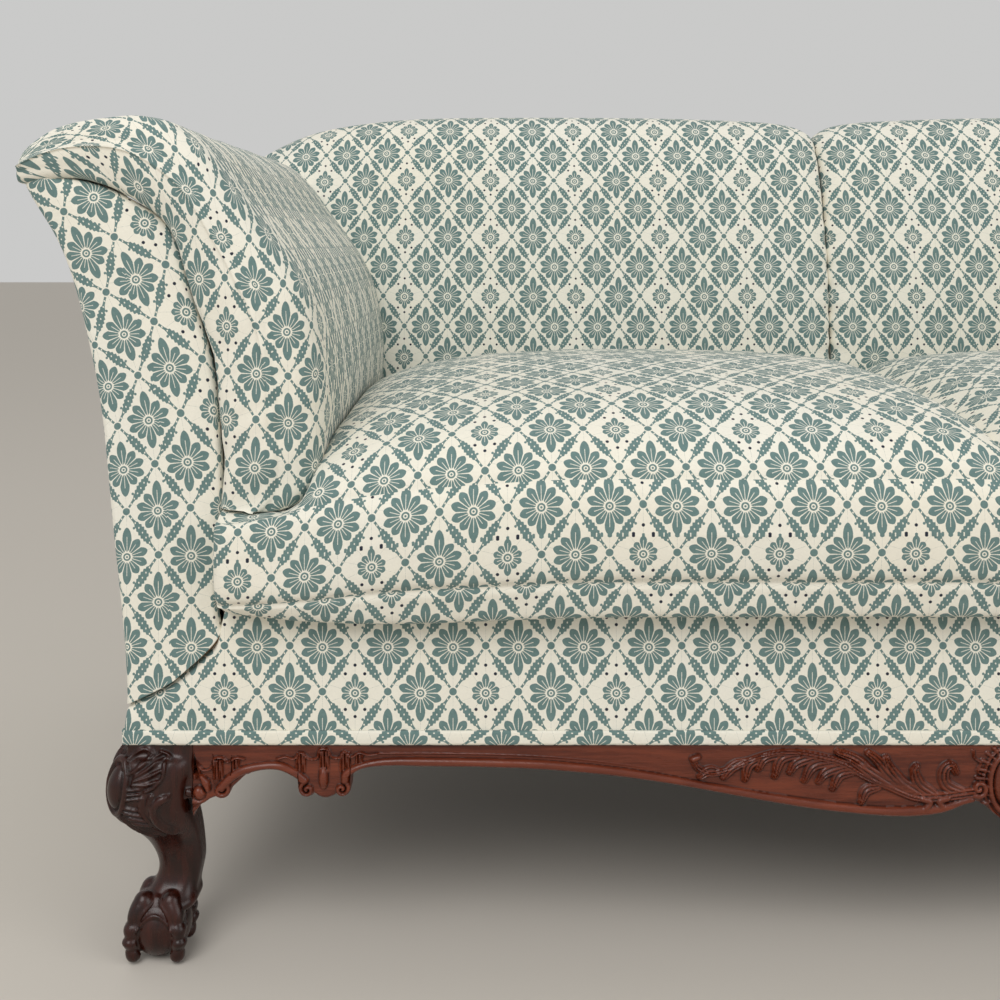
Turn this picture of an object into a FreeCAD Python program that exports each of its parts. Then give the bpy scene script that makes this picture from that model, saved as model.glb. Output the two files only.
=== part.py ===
import FreeCAD, Part
import math
import os

# Cabriole sofa: an upholstered two-seat body on a show-wood base.
# Millimetres. +X is the viewer's right, +Y is the back, +Z is up.
# The origin is at the middle of the footprint, on the floor.

os.makedirs("parts", exist_ok=True)
Vector = FreeCAD.Vector

# Overall sizes
base_width = 1731.0
overall_depth = 860.0
arm_height = 837.0
back_height = 909.0
base_height = 218.0

# Show-wood base
block_size = 66.5
block_height = 53.0
apron_thickness = 26.0
rear_apron_depth = 38.0
ear_thickness = 36.0
ankle_width = 43.0
knee_swell = 15.5
ball_radius = 30.5
talon_radius = 7.5
rear_block_x = 60.0
rear_block_y = 56.0
rear_foot = 36.0
rear_kick = 58.0

# Seat frame
rail_thickness = 40.0
rail_height = 112.0
post_inset = 7.0
post_thickness = 32.0
back_post_width = 45.0
back_frame_thickness = 44.0
cross_rail_width = 45.0
cross_rail_height = 50.0
corner_block_leg = 74.0
corner_block_height = 60.0
screw_diameter = 5.0
screw_head = 9.5
screw_length = 55.0
dowel_diameter = 10.0
dowel_length = 44.0
leg_dowel_diameter = 16.0
leg_dowel_length = 52.0
hole_clearance = 0.15

# Springing
web_width = 50.0
web_thickness = 1.7
web_count_long = 7
web_count_cross = 15
spring_rows = 3
spring_columns = 7
spring_wire = 3.8
spring_end_radius = 38.0
spring_waist_radius = 25.0
spring_turns = 4
hessian_thickness = 1.5
stuffing_height = 25.5
edge_roll_width = 27.0
deck_thickness = 1.5

# Upholstery
cushion_overhang = 45.0
border_thickness = 12.0
border_round = 9.0
cover_thickness = 4.0
back_lean = 38.0
inner_arm = 188.5
roll_overhang = 102.5
pad_lift = 89.5
pad_foot_round = 14.0
pad_nose = 12.0
back_pad_reach = 115.0
back_pad_round = 43.0
band_height = 14.0
band_thickness = 2.5
lining_thickness = 1.5
dust_thickness = 1.5
soft_gap = 0.5
pad_gap = 0.8

# Loose cushions
cushion_side_inset = 95.0
cushion_middle_gap = 0.6
cushion_lift = 0.4
cushion_rear_gap = 4.0
cushion_corner_border = 86.0
cushion_border = 96.0
cushion_crown = 207.0
cloth_thickness = 2.0
insert_gap = 0.5

# Places worked out from the sizes
half_base = base_width / 2
front_y = -overall_depth / 2 + cushion_overhang
back_y = overall_depth / 2 - rear_kick
frame_y = front_y + border_thickness + soft_gap
rail_side = half_base - border_thickness - soft_gap
rail_bottom = base_height
rail_top = rail_bottom + rail_height
hessian_top = rail_top + hessian_thickness
stuffing_top = hessian_top + stuffing_height
deck_top = stuffing_top + deck_thickness
arm_rise = arm_height - base_height
pad_bottom = deck_top + pad_lift
pad_rise = arm_height - pad_bottom
inner_side = half_base - inner_arm
back_rise = back_height - base_height
lean_slope = back_lean / back_rise
back_rail_y = back_y - cover_thickness - soft_gap
seat_back_y = back_y - back_pad_reach
post_inner = half_base - cover_thickness - soft_gap - 4.0 - back_post_width
post_outer = post_inner + back_post_width
block_inner = half_base - block_size
rear_block_inner = half_base - rear_block_x
rear_block_front = back_y - rear_block_y
cushion_side = half_base - cushion_side_inset


def box(x0, x1, y0, y1, z0, z1):
    return Part.makeBox(x1 - x0, y1 - y0, z1 - z0, Vector(x0, y0, z0))


def rod(start, end, radius):
    way = end - start
    return Part.makeCylinder(radius, way.Length, start, way)


def mirrored(shape):
    return shape.mirror(Vector(0, 0, 0), Vector(1, 0, 0))


def edge_through(points):
    """A straight edge through two points, or a smooth curve through more."""
    if len(points) == 2:
        return Part.LineSegment(points[0], points[1]).toShape()
    curve = Part.BSplineCurve()
    curve.interpolate(points)
    return curve.toShape()


def wire_through(runs):
    return Part.Wire([edge_through(run) for run in runs])


def runs_of(points, breaks):
    """Cuts a closed list of points into runs that meet at the break indices."""
    runs = []
    count = len(points)
    for start, end in zip(breaks, breaks[1:] + [breaks[0] + count]):
        runs.append([points[i % count] for i in range(start, end + 1)])
    return runs


def inset(points, distance):
    """Moves each point of a closed XZ outline towards its inside."""
    area = 0.0
    count = len(points)
    for i in range(count):
        a = points[i]
        b = points[(i + 1) % count]
        area += a.x * b.z - b.x * a.z
    turn = 1.0 if area > 0 else -1.0
    moved = []
    for i in range(count):
        before = points[i] - points[i - 1]
        after = points[(i + 1) % count] - points[i]
        before.normalize()
        after.normalize()
        n_before = Vector(-before.z * turn, 0, before.x * turn)
        n_after = Vector(-after.z * turn, 0, after.x * turn)
        middle = n_before + n_after
        reach = max(middle.Length / 2, 0.6)
        middle.normalize()
        moved.append(points[i] + middle * (distance / reach))
    return moved


def prism(points, breaks, y0, y1):
    """Extrudes a closed XZ outline along Y."""
    placed = [Vector(p.x, y0, p.z) for p in points]
    face = Part.Face(wire_through(runs_of(placed, breaks)))
    return face.extrude(Vector(0, y1 - y0, 0))


def save(name, shapes):
    if not isinstance(shapes, list):
        shapes = [shapes]
    solids = [solid for shape in shapes for solid in shape.Solids]
    result = solids[0] if len(solids) == 1 else Part.makeCompound(solids)
    result.exportStep("parts/" + name + ".step")


def save_pair(name, shape):
    save(name + "_right", shape)
    save(name + "_left", mirrored(shape))


# Outlines of the arm, seen from the front, on the right side
def arm_point(outward, rise):
    """A point by its distance from the base's side and its share of the arm's rise."""
    return Vector(half_base + outward, 0, base_height + arm_rise * rise)


def pad_point(outward, rise):
    """The same, with its share of the arm pad's rise."""
    return Vector(half_base + outward, 0, pad_bottom + pad_rise * rise)


outer_side = [
    arm_point(-1.0, 0.0),
    arm_point(2.5, 0.21),
    arm_point(15.5, 0.388),
    arm_point(26.5, 0.546),
    arm_point(42.5, 0.67),
    arm_point(73.5, 0.814),
    arm_point(93.5, 0.866),
    arm_point(roll_overhang, 0.895),
]
roll_top = [
    arm_point(roll_overhang, 0.905),
    arm_point(roll_overhang - 4.0, 0.93),
    arm_point(83.5, 0.958),
    arm_point(61.5, 0.981),
    arm_point(25.5, 0.996),
    arm_point(-5.0, 1.0),
]
inner_face = [
    pad_point(-0.19 * inner_arm, 0.981),
    pad_point(-0.385 * inner_arm, 0.901),
    pad_point(-0.55 * inner_arm, 0.79),
    pad_point(-0.73 * inner_arm, 0.679),
    pad_point(-0.88 * inner_arm, 0.566),
    pad_point(-0.965 * inner_arm, 0.429),
    pad_point(-inner_arm, 0.289),
    pad_point(-0.995 * inner_arm, 0.134),
]
pad_foot = [
    Vector(inner_side + 0.5 * pad_foot_round, 0, pad_bottom + pad_foot_round),
    Vector(inner_side + 2.0 * pad_foot_round, 0, pad_bottom),
    Vector(half_base - 91.5, 0, pad_bottom),
]
groove = [
    pad_point(-95.5, 0.069),
    pad_point(-93.5, 0.206),
    pad_point(-84.0, 0.395),
    pad_point(-61.5, 0.569),
    pad_point(-35.5, 0.733),
    pad_point(-8.5, 0.779),
    pad_point(17.5, 0.812),
    pad_point(56.5, 0.838),
]
pad_points = roll_top + inner_face + pad_foot + groove
pad_breaks = [0, len(roll_top + inner_face) + 1, len(roll_top + inner_face) + 2]


def outer_at(z):
    """The outer side's distance from the middle at a height."""
    for a, b in zip(outer_side, outer_side[1:]):
        if z <= b.z:
            return a.x + (b.x - a.x) * (z - a.z) / (b.z - a.z)
    return outer_side[-1].x


def arm_body(foot_height):
    """The arm without its pad: between the outer side and the groove."""
    outer = [p for p in outer_side if p.z > foot_height + 20.0]
    foot_outer = Vector(outer_at(foot_height), 0, foot_height)
    foot_inner = Vector(half_base - 91.0, 0, foot_height)
    upper_inner = Vector(half_base - 91.5, 0, pad_bottom)
    points = [foot_inner, foot_outer] + outer + groove[::-1] + [upper_inner]
    corner = 1 + len(outer)
    return points, [0, 1, corner, len(points) - 1]


# Show-wood base
def rounded_square(x0, x1, y0, y1, z, share):
    """A closed square wire with arcs at its corners."""
    r = share * min(x1 - x0, y1 - y0)
    k = r * (1 - math.sqrt(0.5))
    edges = []
    corners = [(x0, y0, 1, 1), (x1, y0, -1, 1), (x1, y1, -1, -1), (x0, y1, 1, -1)]
    starts = []
    for i, (cx, cy, sx, sy) in enumerate(corners):
        first = Vector(cx, cy + sy * r, z)
        second = Vector(cx + sx * r, cy, z)
        if i % 2:
            first, second = second, first
        starts.append((first, Vector(cx + sx * k, cy + sy * k, z), second))
    for i in range(4):
        first, middle, second = starts[i]
        edges.append(Part.Arc(first, middle, second).toShape())
        edges.append(Part.LineSegment(second, starts[(i + 1) % 4][0]).toShape())
    return Part.Wire(edges)


def front_leg():
    """Knee, ankle and claw foot. Sections are set out inwards from the block's outer faces."""
    ankle_inset = block_size - ankle_width
    stations = [
        (0.94, -0.62 * knee_swell, block_size - 1.0),
        (0.85, -knee_swell, block_size - 2.5),
        (0.74, -knee_swell, block_size - 6.5),
        (0.66, -0.55 * knee_swell, block_size - 4.0),
        (0.59, 0.12 * ankle_inset, block_size - 2.0),
        (0.53, 0.54 * ankle_inset, block_size - 1.0),
        (0.45, 0.88 * ankle_inset, block_size),
        (0.385, ankle_inset, block_size),
        (0.33, 0.9 * ankle_inset, block_size - 2.0),
        (0.27, 0.5 * ankle_inset, block_size - 3.0),
        (0.22, 0.3 * ankle_inset, block_size - 8.0),
    ]
    wires = []
    for share, outer, inner in stations:
        z = base_height * share
        wires.append(rounded_square(
            half_base - inner, half_base - outer, front_y + outer, front_y + inner, z, 0.34))
    leg = Part.makeLoft(wires, True, False)
    block = box(block_inner, half_base, front_y, front_y + block_size,
                base_height - block_height, base_height)
    ball_x = half_base - 0.42 * block_size
    ball_y = front_y + 0.42 * block_size
    ball_centre = Vector(ball_x, ball_y, ball_radius - 0.5)
    foot = Part.makeSphere(ball_radius, ball_centre)
    pieces = [block, foot]
    knuckles = [(0.62, 0.26, 1.35), (0.98, 0.19, 1.0), (1.12, 0.11, 0.95), (1.0, 0.035, 0.8)]
    for quarter in range(4):
        azimuth = math.radians(45 + 90 * quarter)
        reach = Vector(math.cos(azimuth), math.sin(azimuth), 0) * ball_radius
        previous = None
        for out, height, thick in knuckles:
            centre = Vector(ball_x, ball_y, base_height * height) + reach * out
            radius = talon_radius * thick
            pieces.append(Part.makeSphere(radius, centre))
            if previous is not None:
                way = centre - previous[0]
                pieces.append(Part.makeCone(previous[1], radius, way.Length, previous[0], way))
            previous = (centre, radius)
    leg = leg.multiFuse(pieces)
    below = box(half_base - 200, half_base + 100, front_y - 100, front_y + 200, -50, 0)
    joint_low = base_height * 0.5
    beside = box(half_base - 200, block_inner, front_y - 100, front_y + 200, joint_low, base_height)
    behind = box(half_base - 200, half_base + 100, front_y + block_size, front_y + 200,
                 joint_low, base_height)
    return leg.cut(below).cut(beside).cut(behind)


def rear_leg():
    sections = [
        (1.0, 0.0, 0.0, rear_block_x, rear_block_y),
        (0.78, 0.5, 1.0, rear_block_x - 3.0, rear_block_y - 5.0),
        (0.4, 4.0, 0.35 * rear_kick, 46.0, 44.0),
        (0.0, 5.0, rear_kick, rear_foot, rear_foot),
    ]
    wires = []
    for share, side, kick, width, depth in sections:
        x1 = half_base - side
        y1 = back_y + kick
        wires.append(rounded_square(x1 - width, x1, y1 - depth, y1, base_height * share, 0.1))
    return Part.makeLoft(wires, True, False)


def apron_face(half_length, y, profile, x_sign):
    """Points of an apron's lower edge, from shares of its half length and drops from its top."""
    return [Vector(x_sign * half_length * share, y, base_height - drop) for share, drop in profile]


front_profile = [
    (0.0, 76.0), (0.034, 58.0), (0.08, 67.5), (0.14, 71.0), (0.22, 65.7), (0.31, 54.0),
    (0.42, 38.0), (0.53, 28.5), (0.65, 24.0), (0.76, 22.5), (0.8, 27.0), (0.82, 47.0),
    (0.84, 54.0), (0.86, 42.0), (0.885, 29.0), (0.93, 29.5),
]


def front_apron():
    half_length = block_inner
    right = apron_face(half_length, front_y, front_profile, 1.0)
    left = apron_face(half_length, front_y, front_profile, -1.0)[::-1]
    lower = left[:-1] + right
    top_left = Vector(-half_length, front_y, base_height)
    top_right = Vector(half_length, front_y, base_height)
    drop = Vector(0, 0, -front_profile[-1][1])
    wire = wire_through([lower, [lower[-1], top_right + drop], [top_right + drop, top_right],
                         [top_right, top_left], [top_left, top_left + drop],
                         [top_left + drop, lower[0]]])
    apron = Part.Face(wire).extrude(Vector(0, apron_thickness, 0))
    boss = Part.makeSphere(1.0)
    scale = FreeCAD.Matrix()
    scale.scale(Vector(13.0, 9.0, 24.0))
    boss = boss.transformGeometry(scale)
    boss.translate(Vector(0, front_y + 1.0, base_height - 38.0))
    front_only = box(-40, 40, front_y - 20, front_y + 6, base_height - 70, base_height - 6)
    return apron.fuse(boss.common(front_only))


def side_apron():
    start = front_y + block_size
    end = rear_block_front
    length = end - start
    drops = [(0.0, 29.0), (0.12, 24.0), (0.35, 27.0), (0.6, 36.0), (0.85, 34.0), (1.0, 28.0)]
    lower = [Vector(half_base - apron_thickness, start + length * s, base_height - d)
             for s, d in drops]
    top_end = Vector(half_base - apron_thickness, end, base_height)
    top_start = Vector(half_base - apron_thickness, start, base_height)
    wire = wire_through([lower, [lower[-1], top_end], [top_end, top_start], [top_start, lower[0]]])
    return Part.Face(wire).extrude(Vector(apron_thickness, 0, 0))


def front_ear():
    """The bracket beside the front leg, glued under the front apron."""
    top = base_height - front_profile[-1][1]
    lower = [
        Vector(block_inner, front_y, base_height - 72.0),
        Vector(block_inner - 12.0, front_y, base_height - 57.0),
        Vector(block_inner - 30.0, front_y, base_height - 49.0),
        Vector(block_inner - 46.0, front_y, base_height - 36.0),
        Vector(block_inner - 53.0, front_y, top),
    ]
    corner = Vector(block_inner, front_y, top)
    wire = wire_through([lower, [lower[-1], corner], [corner, lower[0]]])
    return Part.Face(wire).extrude(Vector(0, ear_thickness, 0))


leg = front_leg()
ear = front_ear()
side_ear = ear.mirror(Vector(half_base, front_y, 0), Vector(1, 1, 0))
side_ear = side_ear.cut(box(half_base - 200, half_base + 9, front_y, back_y,
                            base_height - 28.5, base_height))
rear_apron = box(-rear_block_inner, rear_block_inner, back_y - apron_thickness - 1.0, back_y - 1.0,
                 base_height - rear_apron_depth, base_height)
front_rail_wood = front_apron()
side_rail_wood = side_apron()
side_ear = side_ear.cut(side_rail_wood)

# Seat frame of beech
wood = {}
rail_in_y = frame_y + rail_thickness
rail_in_x = rail_side - rail_thickness
back_front = back_rail_y - back_frame_thickness
wood["seat_rail_front"] = box(-rail_side, rail_side, frame_y, rail_in_y, rail_bottom, rail_top)
wood["seat_rail_back"] = box(-post_inner, post_inner, back_rail_y - rail_thickness, back_rail_y,
                             rail_bottom, rail_top)
wood["seat_rail_right"] = box(rail_in_x, rail_side, rail_in_y, back_front - 0.5,
                              rail_bottom, rail_top)
wood["seat_cross_rail"] = box(-cross_rail_width / 2, cross_rail_width / 2, rail_in_y,
                              back_rail_y - rail_thickness, rail_bottom + 3.0,
                              rail_bottom + 3.0 + cross_rail_height)


def leaned(y, z):
    """The Y of a plane that leans back from its place at the base."""
    return y + lean_slope * (z - base_height)


def leaning_board(x0, x1, y0, y1, z0, z1):
    """A board whose front and rear faces lean back with the sofa's back."""
    corners = [
        Vector(x0, leaned(y0, z0), z0),
        Vector(x0, leaned(y1, z0), z0),
        Vector(x0, leaned(y1, z1), z1),
        Vector(x0, leaned(y0, z1), z1),
    ]
    wire = Part.makePolygon(corners + corners[:1])
    return Part.Face(wire).extrude(Vector(x1 - x0, 0, 0))


back_rail_top = back_height - back_pad_round - 18.0
post_top = arm_height - 52.0
tack_bottom = deck_top + 22.0
wood["back_post_right"] = leaning_board(post_inner, post_outer, back_front, back_rail_y,
                                        rail_bottom, post_top)
wood["back_tack_rail"] = leaning_board(-post_inner, post_inner, back_front, back_rail_y - 6.0,
                                       tack_bottom, tack_bottom + 42.0)
wood["back_post_centre"] = leaning_board(-25.0, 25.0, back_front, back_rail_y - 6.0,
                                         tack_bottom + 42.0, back_rail_top - 52.0)

# The back's top rail: its crest drops towards the corners
crest_drops = [(0.0, 17.0), (0.08, 10.0), (0.3, 1.0), (0.56, 0.0), (0.74, 4.0), (0.875, 20.0),
               (0.96, 46.0), (1.0, 62.0)]
crest_half = half_base + 18.0


def crest(share):
    """The drop of the back's crest at a share of its half width."""
    for (a, drop_a), (b, drop_b) in zip(crest_drops, crest_drops[1:]):
        if share <= b:
            return drop_a + (drop_b - drop_a) * (share - a) / (b - a)
    return crest_drops[-1][1]


def crest_curve(y, lower, reach):
    """The crest from one side to the other, lowered by a distance."""
    shares = [-0.95, -0.86, -0.7, -0.5, -0.25, 0.0, 0.25, 0.5, 0.7, 0.86, 0.95]
    return [Vector(reach / 0.95 * s, y, back_height - lower - crest(abs(s * 0.95))) for s in shares]


def top_rail():
    upper = crest_curve(0, back_pad_round + 18.0, post_outer)
    low = back_rail_top - 52.0
    right_corner = Vector(post_outer, 0, post_top)
    left_corner = Vector(-post_outer, 0, post_top)
    shoulder = Vector(post_inner - 6.0, 0, low)
    wire = wire_through([
        upper,
        [upper[-1], right_corner],
        [right_corner, Vector(post_inner, 0, post_top)],
        [Vector(post_inner, 0, post_top), Vector(post_inner, 0, low)],
        [Vector(post_inner, 0, low), Vector(-post_inner, 0, low)],
        [Vector(-post_inner, 0, low), Vector(-post_inner, 0, post_top)],
        [Vector(-post_inner, 0, post_top), left_corner],
        [left_corner, upper[0]],
    ])
    tall = Part.Face(wire).extrude(Vector(0, overall_depth / 2, 0))
    board = leaning_board(-post_outer - 5, post_outer + 5, back_front, back_rail_y - 6.0,
                          low, back_height)
    return tall.common(board)


wood["back_top_rail"] = top_rail()

# Arm frames
def arm_post():
    """The arm's front post. Its outer side follows the inside of the outside panel."""
    shape, breaks = arm_body(rail_top)
    outline = inset(shape, post_inset)
    for foot in outline[:2]:
        foot.z = rail_top
    for point in outline[1:breaks[2] + 1]:
        point.x += post_inset - 2.0
    post = prism(outline, breaks, frame_y, frame_y + post_thickness)
    shell = [p - Vector(cover_thickness + pad_gap, 0, 0) for p in outer_side[:-1]]
    shell[0].z = base_height + 0.3
    above = Vector(shell[-1].x, 0, back_height)
    far_above = Vector(base_width, 0, back_height)
    far_below = Vector(base_width, 0, shell[0].z)
    last = len(shell) - 1
    beyond = prism(shell + [above, far_above, far_below], [0, last, last + 1, last + 2, last + 3],
                   frame_y - 1.0, frame_y + post_thickness + 1.0)
    return post.cut(beyond)


wood["front_arm_post_right"] = arm_post()
arm_start = frame_y + post_thickness
top_rail_low = pad_bottom + pad_rise * 0.62
top_rail_high = pad_bottom + pad_rise * 0.742
top_rail_in = half_base - 14.0
top_rail_out = half_base + 48.0
tack_low = deck_top + 42.0
wood["arm_block_right"] = leaning_board(post_outer, top_rail_out, back_front, back_rail_y,
                                        top_rail_low, top_rail_high)
arm_end_low = leaned(back_front, tack_low)
arm_end_high = leaned(back_front, top_rail_low)
wood["arm_top_rail_right"] = box(top_rail_in, top_rail_out, arm_start, arm_end_high,
                                 top_rail_low, top_rail_high)
wood["arm_tack_rail_right"] = box(half_base - 85.0, half_base - 59.0, arm_start, arm_end_low,
                                  tack_low, tack_low + 48.0)
wood["back_post_right"] = wood["back_post_right"].fuse(
    leaning_board(half_base - 85.0, post_inner, back_front, back_rail_y,
                  tack_low, tack_low + 48.0)).removeSplitter()
wood["back_tack_rail"] = wood["back_tack_rail"].cut(wood["back_post_right"])
wood["back_tack_rail"] = wood["back_tack_rail"].cut(mirrored(wood["back_post_right"]))
wood["front_leg_right"] = leg
wood["rear_leg_right"] = rear_leg()

# Dowels: each is a start point, a direction and a diameter
dowels = []
leg_dowels = []


def dowel(x, y, z, direction):
    start = Vector(x, y, z) - direction * (dowel_length / 2)
    dowels.append((start, start + direction * dowel_length, dowel_diameter / 2))


along_x = Vector(1, 0, 0)
along_y = Vector(0, 1, 0)
along_z = Vector(0, 0, 1)
rail_middle_x = (rail_in_x + rail_side) / 2
rail_middle_y = (frame_y + rail_in_y) / 2
back_middle = back_rail_y - rail_thickness / 2
for z in (rail_bottom + 0.38 * rail_height, rail_bottom + 0.7 * rail_height):
    dowel(rail_middle_x, rail_in_y, z, along_y)
    dowel(rail_middle_x + 6.0, leaned(back_front, z), z, along_y)
    dowel(post_inner, leaned(back_middle, z), z, along_x)
post_foot_in = half_base - 91.0 + 7.0
for x in (post_foot_in + 18.0, half_base - 30.0):
    dowel(x, frame_y + post_thickness / 2, rail_top, along_z)
rail_mid_high = (top_rail_low + top_rail_high) / 2
dowel(top_rail_in + 22.0, arm_start, rail_mid_high, along_y)
dowel(top_rail_out - 16.0, arm_start, rail_mid_high, along_y)
dowel(top_rail_out - 16.0, leaned(back_front, rail_mid_high), rail_mid_high, along_y)
dowel(post_outer, leaned(back_front + 22.0, rail_mid_high - 10.0), rail_mid_high - 10.0, along_x)
dowel(half_base - 72.0, arm_start, tack_low + 24.0, along_y)
dowel(half_base - 72.0, leaned(back_front, tack_low + 24.0), tack_low + 24.0, along_y)
dowel(post_inner + 22.0, leaned(back_front + 22.0, post_top), post_top, along_z)

for x, y in ((rail_middle_x, rail_middle_y), (post_inner + 22.0, back_middle)):
    start = Vector(x, y, base_height - leg_dowel_length / 2)
    leg_dowels.append((start, start + along_z * leg_dowel_length, leg_dowel_diameter / 2))

# Corner blocks and their screws, at the right front and right rear corner
corner_blocks = []
screws = []
block_low = rail_bottom + 24.0
block_mid = block_low + corner_block_height / 2
for corner_y, sign in ((rail_in_y, 1.0), (back_rail_y - rail_thickness, -1.0)):
    inner_x = rail_in_x if sign > 0 else post_inner
    inner_x = min(inner_x, rail_in_x)
    leg_y = corner_y + sign * corner_block_leg
    outline = [
        Vector(inner_x, corner_y, block_low),
        Vector(inner_x - corner_block_leg, corner_y, block_low),
        Vector(inner_x, leg_y, block_low),
    ]
    wire = Part.makePolygon(outline + outline[:1])
    block = Part.Face(wire).extrude(Vector(0, 0, corner_block_height))
    reach = 0.42 * corner_block_leg
    sunk = corner_block_leg - reach
    heads = [
        (Vector(inner_x - reach, corner_y + sign * sunk, block_mid - 12.0), Vector(0, -sign, 0)),
        (Vector(inner_x - sunk, corner_y + sign * reach, block_mid + 12.0), Vector(1, 0, 0)),
    ]
    for head, way in heads:
        shank = rod(head + way * 6.0, head + way * screw_length, screw_diameter / 2)
        cap = rod(head + way * 6.0, head + way * 9.0, screw_head / 2)
        recess = rod(head - way * 20.0, head + way * 9.0, screw_head / 2 + hole_clearance)
        hole = rod(head, head + way * (screw_length + 1.0), screw_diameter / 2 + hole_clearance)
        block = block.cut(recess.fuse(hole))
        screws.append(shank.fuse(cap))
        for name in ("seat_rail_front", "seat_rail_back", "seat_rail_right"):
            wood[name] = wood[name].cut(hole)
            wood[name] = wood[name].cut(mirrored(hole)) if name != "seat_rail_right" else wood[name]
    corner_blocks.append(block)

# Holes for all dowels, in every piece of wood that one enters
for name in list(wood):
    middle_piece = not name.endswith("_right")
    for start, end, radius in dowels + leg_dowels:
        hole = rod(start, end, radius + hole_clearance)
        holes = [hole, mirrored(hole)] if middle_piece else [hole]
        for cutter in holes:
            if wood[name].BoundBox.intersect(cutter.BoundBox):
                wood[name] = wood[name].cut(cutter)

dowel_solids = [rod(a, b, r) for a, b, r in dowels + leg_dowels]


# Seat springing
def twin_arcs(p0, t0, p1, t1):
    """Two arcs that join two points with their tangents kept."""
    chord = p1 - p0
    across = t0 + t1
    a = 2.0 * (1.0 - t0.dot(t1))
    b = 2.0 * chord.dot(across)
    c = -chord.dot(chord)
    if abs(a) < 1e-9:
        d = -c / b
    else:
        d = (-b + math.sqrt(b * b - 4 * a * c)) / (2 * a)
    joint = (p0 + t0 * d + p1 - t1 * d) * 0.5
    arcs = []
    for start, tangent, end in ((p0, t0, joint), (p1, t1 * -1.0, joint)):
        way = end - start
        length = way.Length
        across = way.cross(tangent).cross(way)
        across.normalize()
        angle = math.acos(max(-1.0, min(1.0, way.dot(tangent) / length)))
        rise = 0.5 * length * math.tan(angle / 2)
        arcs.append(Part.Arc(start, start + way * 0.5 + across * rise, end).toShape())
    return arcs


def spring(height):
    """An hourglass coil that stands at the origin."""
    steps = spring_turns * 4
    rise = height - spring_wire

    def point(i):
        share = i / steps
        waist = (2 * share - 1) ** 2
        radius = spring_waist_radius + (spring_end_radius - spring_waist_radius) * waist
        angle = 0.5 * math.pi * i
        return Vector(radius * math.cos(angle), radius * math.sin(angle),
                      spring_wire / 2 + rise * share)

    def tangent(i):
        way = point(i + 0.01) - point(i - 0.01)
        way.normalize()
        return way

    edges = []
    for i in range(steps):
        edges += twin_arcs(point(i), tangent(i), point(i + 1), tangent(i + 1))
    path = Part.Wire(edges)
    ring = Part.Wire([Part.Circle(point(0), tangent(0), spring_wire / 2).toShape()])
    return path.makePipeShell([ring], True, False)


span_x = rail_in_x - corner_block_leg - spring_end_radius
span_y0 = rail_in_y + spring_end_radius + 8.0
span_y1 = back_rail_y - rail_thickness - spring_end_radius - 8.0
coil = spring(rail_top - rail_bottom - 1.0)
springs = []
for column in range(-(spring_columns // 2), spring_columns // 2 + 1):
    x = span_x * (2.0 * column) / (spring_columns - 1)
    if column == 0:
        continue
    for row in range(spring_rows):
        y = span_y0 + (span_y1 - span_y0) * row / (spring_rows - 1)
        copy = coil.copy()
        copy.translate(Vector(x, y, rail_bottom + 0.3))
        springs.append(copy)
centre_coil = spring(rail_top - rail_bottom - 3.0 - cross_rail_height - 1.0)
for row in range(spring_rows):
    y = span_y0 + (span_y1 - span_y0) * row / (spring_rows - 1)
    copy = centre_coil.copy()
    copy.translate(Vector(0, y, rail_bottom + 3.3 + cross_rail_height))
    springs.append(copy)

web_top = rail_bottom
web_long = []
long_start = front_y + block_size + 2.0 + web_width / 2
long_span = rear_block_front - 2.0 - web_width / 2 - long_start
for i in range(web_count_long):
    y = long_start + long_span * i / (web_count_long - 1)
    web_long.append(box(-rail_side + 27.0, rail_side - 27.0, y - web_width / 2, y + web_width / 2,
                        web_top - web_thickness, web_top))
web_cross = []
cross_span = 2 * (block_inner - web_width / 2 - 6.0)
for i in range(web_count_cross):
    x = -cross_span / 2 + cross_span * i / (web_count_cross - 1)
    web_cross.append(box(x - web_width / 2, x + web_width / 2, front_y + apron_thickness + 4.0,
                         back_y - apron_thickness - 5.0, web_top - 2 * web_thickness,
                         web_top - web_thickness))

dust_top = web_top - 2 * web_thickness
dust = box(-half_base + apron_thickness + 2, half_base - apron_thickness - 2,
           front_y + apron_thickness + 2, back_y - apron_thickness - 3,
           dust_top - dust_thickness, dust_top)
for x0, x1, y0, y1 in (
        (block_inner - 1.0, half_base, front_y, front_y + block_size + 1.0),
        (rear_block_inner - 1.0, half_base, rear_block_front - 1.0, back_y)):
    notch = box(x0, x1, y0, y1, dust_top - 10, dust_top + 10)
    dust = dust.cut(notch).cut(mirrored(notch))

# Hessian, stuffing, edge roll and platform cloth
deck_side = half_base - 91.0
deck_back = back_front - 1.0
hessian = box(-deck_side, deck_side, frame_y + 6.0, deck_back, rail_top, hessian_top)
edge_roll = box(-deck_side, deck_side, frame_y + 0.5, frame_y + edge_roll_width,
                hessian_top, stuffing_top)
roll_edges = [e for e in edge_roll.Edges
              if abs(e.CenterOfMass.z - stuffing_top) < 0.1
              and abs(e.CenterOfMass.y - frame_y - 0.5) < 0.1]
edge_roll = edge_roll.makeFillet(border_round - 1.0, roll_edges)
stuffing = box(-deck_side, deck_side, frame_y + edge_roll_width, deck_back,
               hessian_top, stuffing_top)
deck = box(-deck_side, deck_side, frame_y + border_round + 1.0, deck_back, stuffing_top, deck_top)

# Arm and back webbing, tacked to the inner faces of the frames
body_web = []
for x in (-0.68, -0.34, 0.34, 0.68):
    body_web.append(leaning_board(post_inner * x - 25.0, post_inner * x + 25.0,
                                  back_front - web_thickness, back_front,
                                  tack_bottom + 4.0, back_rail_top - 30.0))

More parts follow.
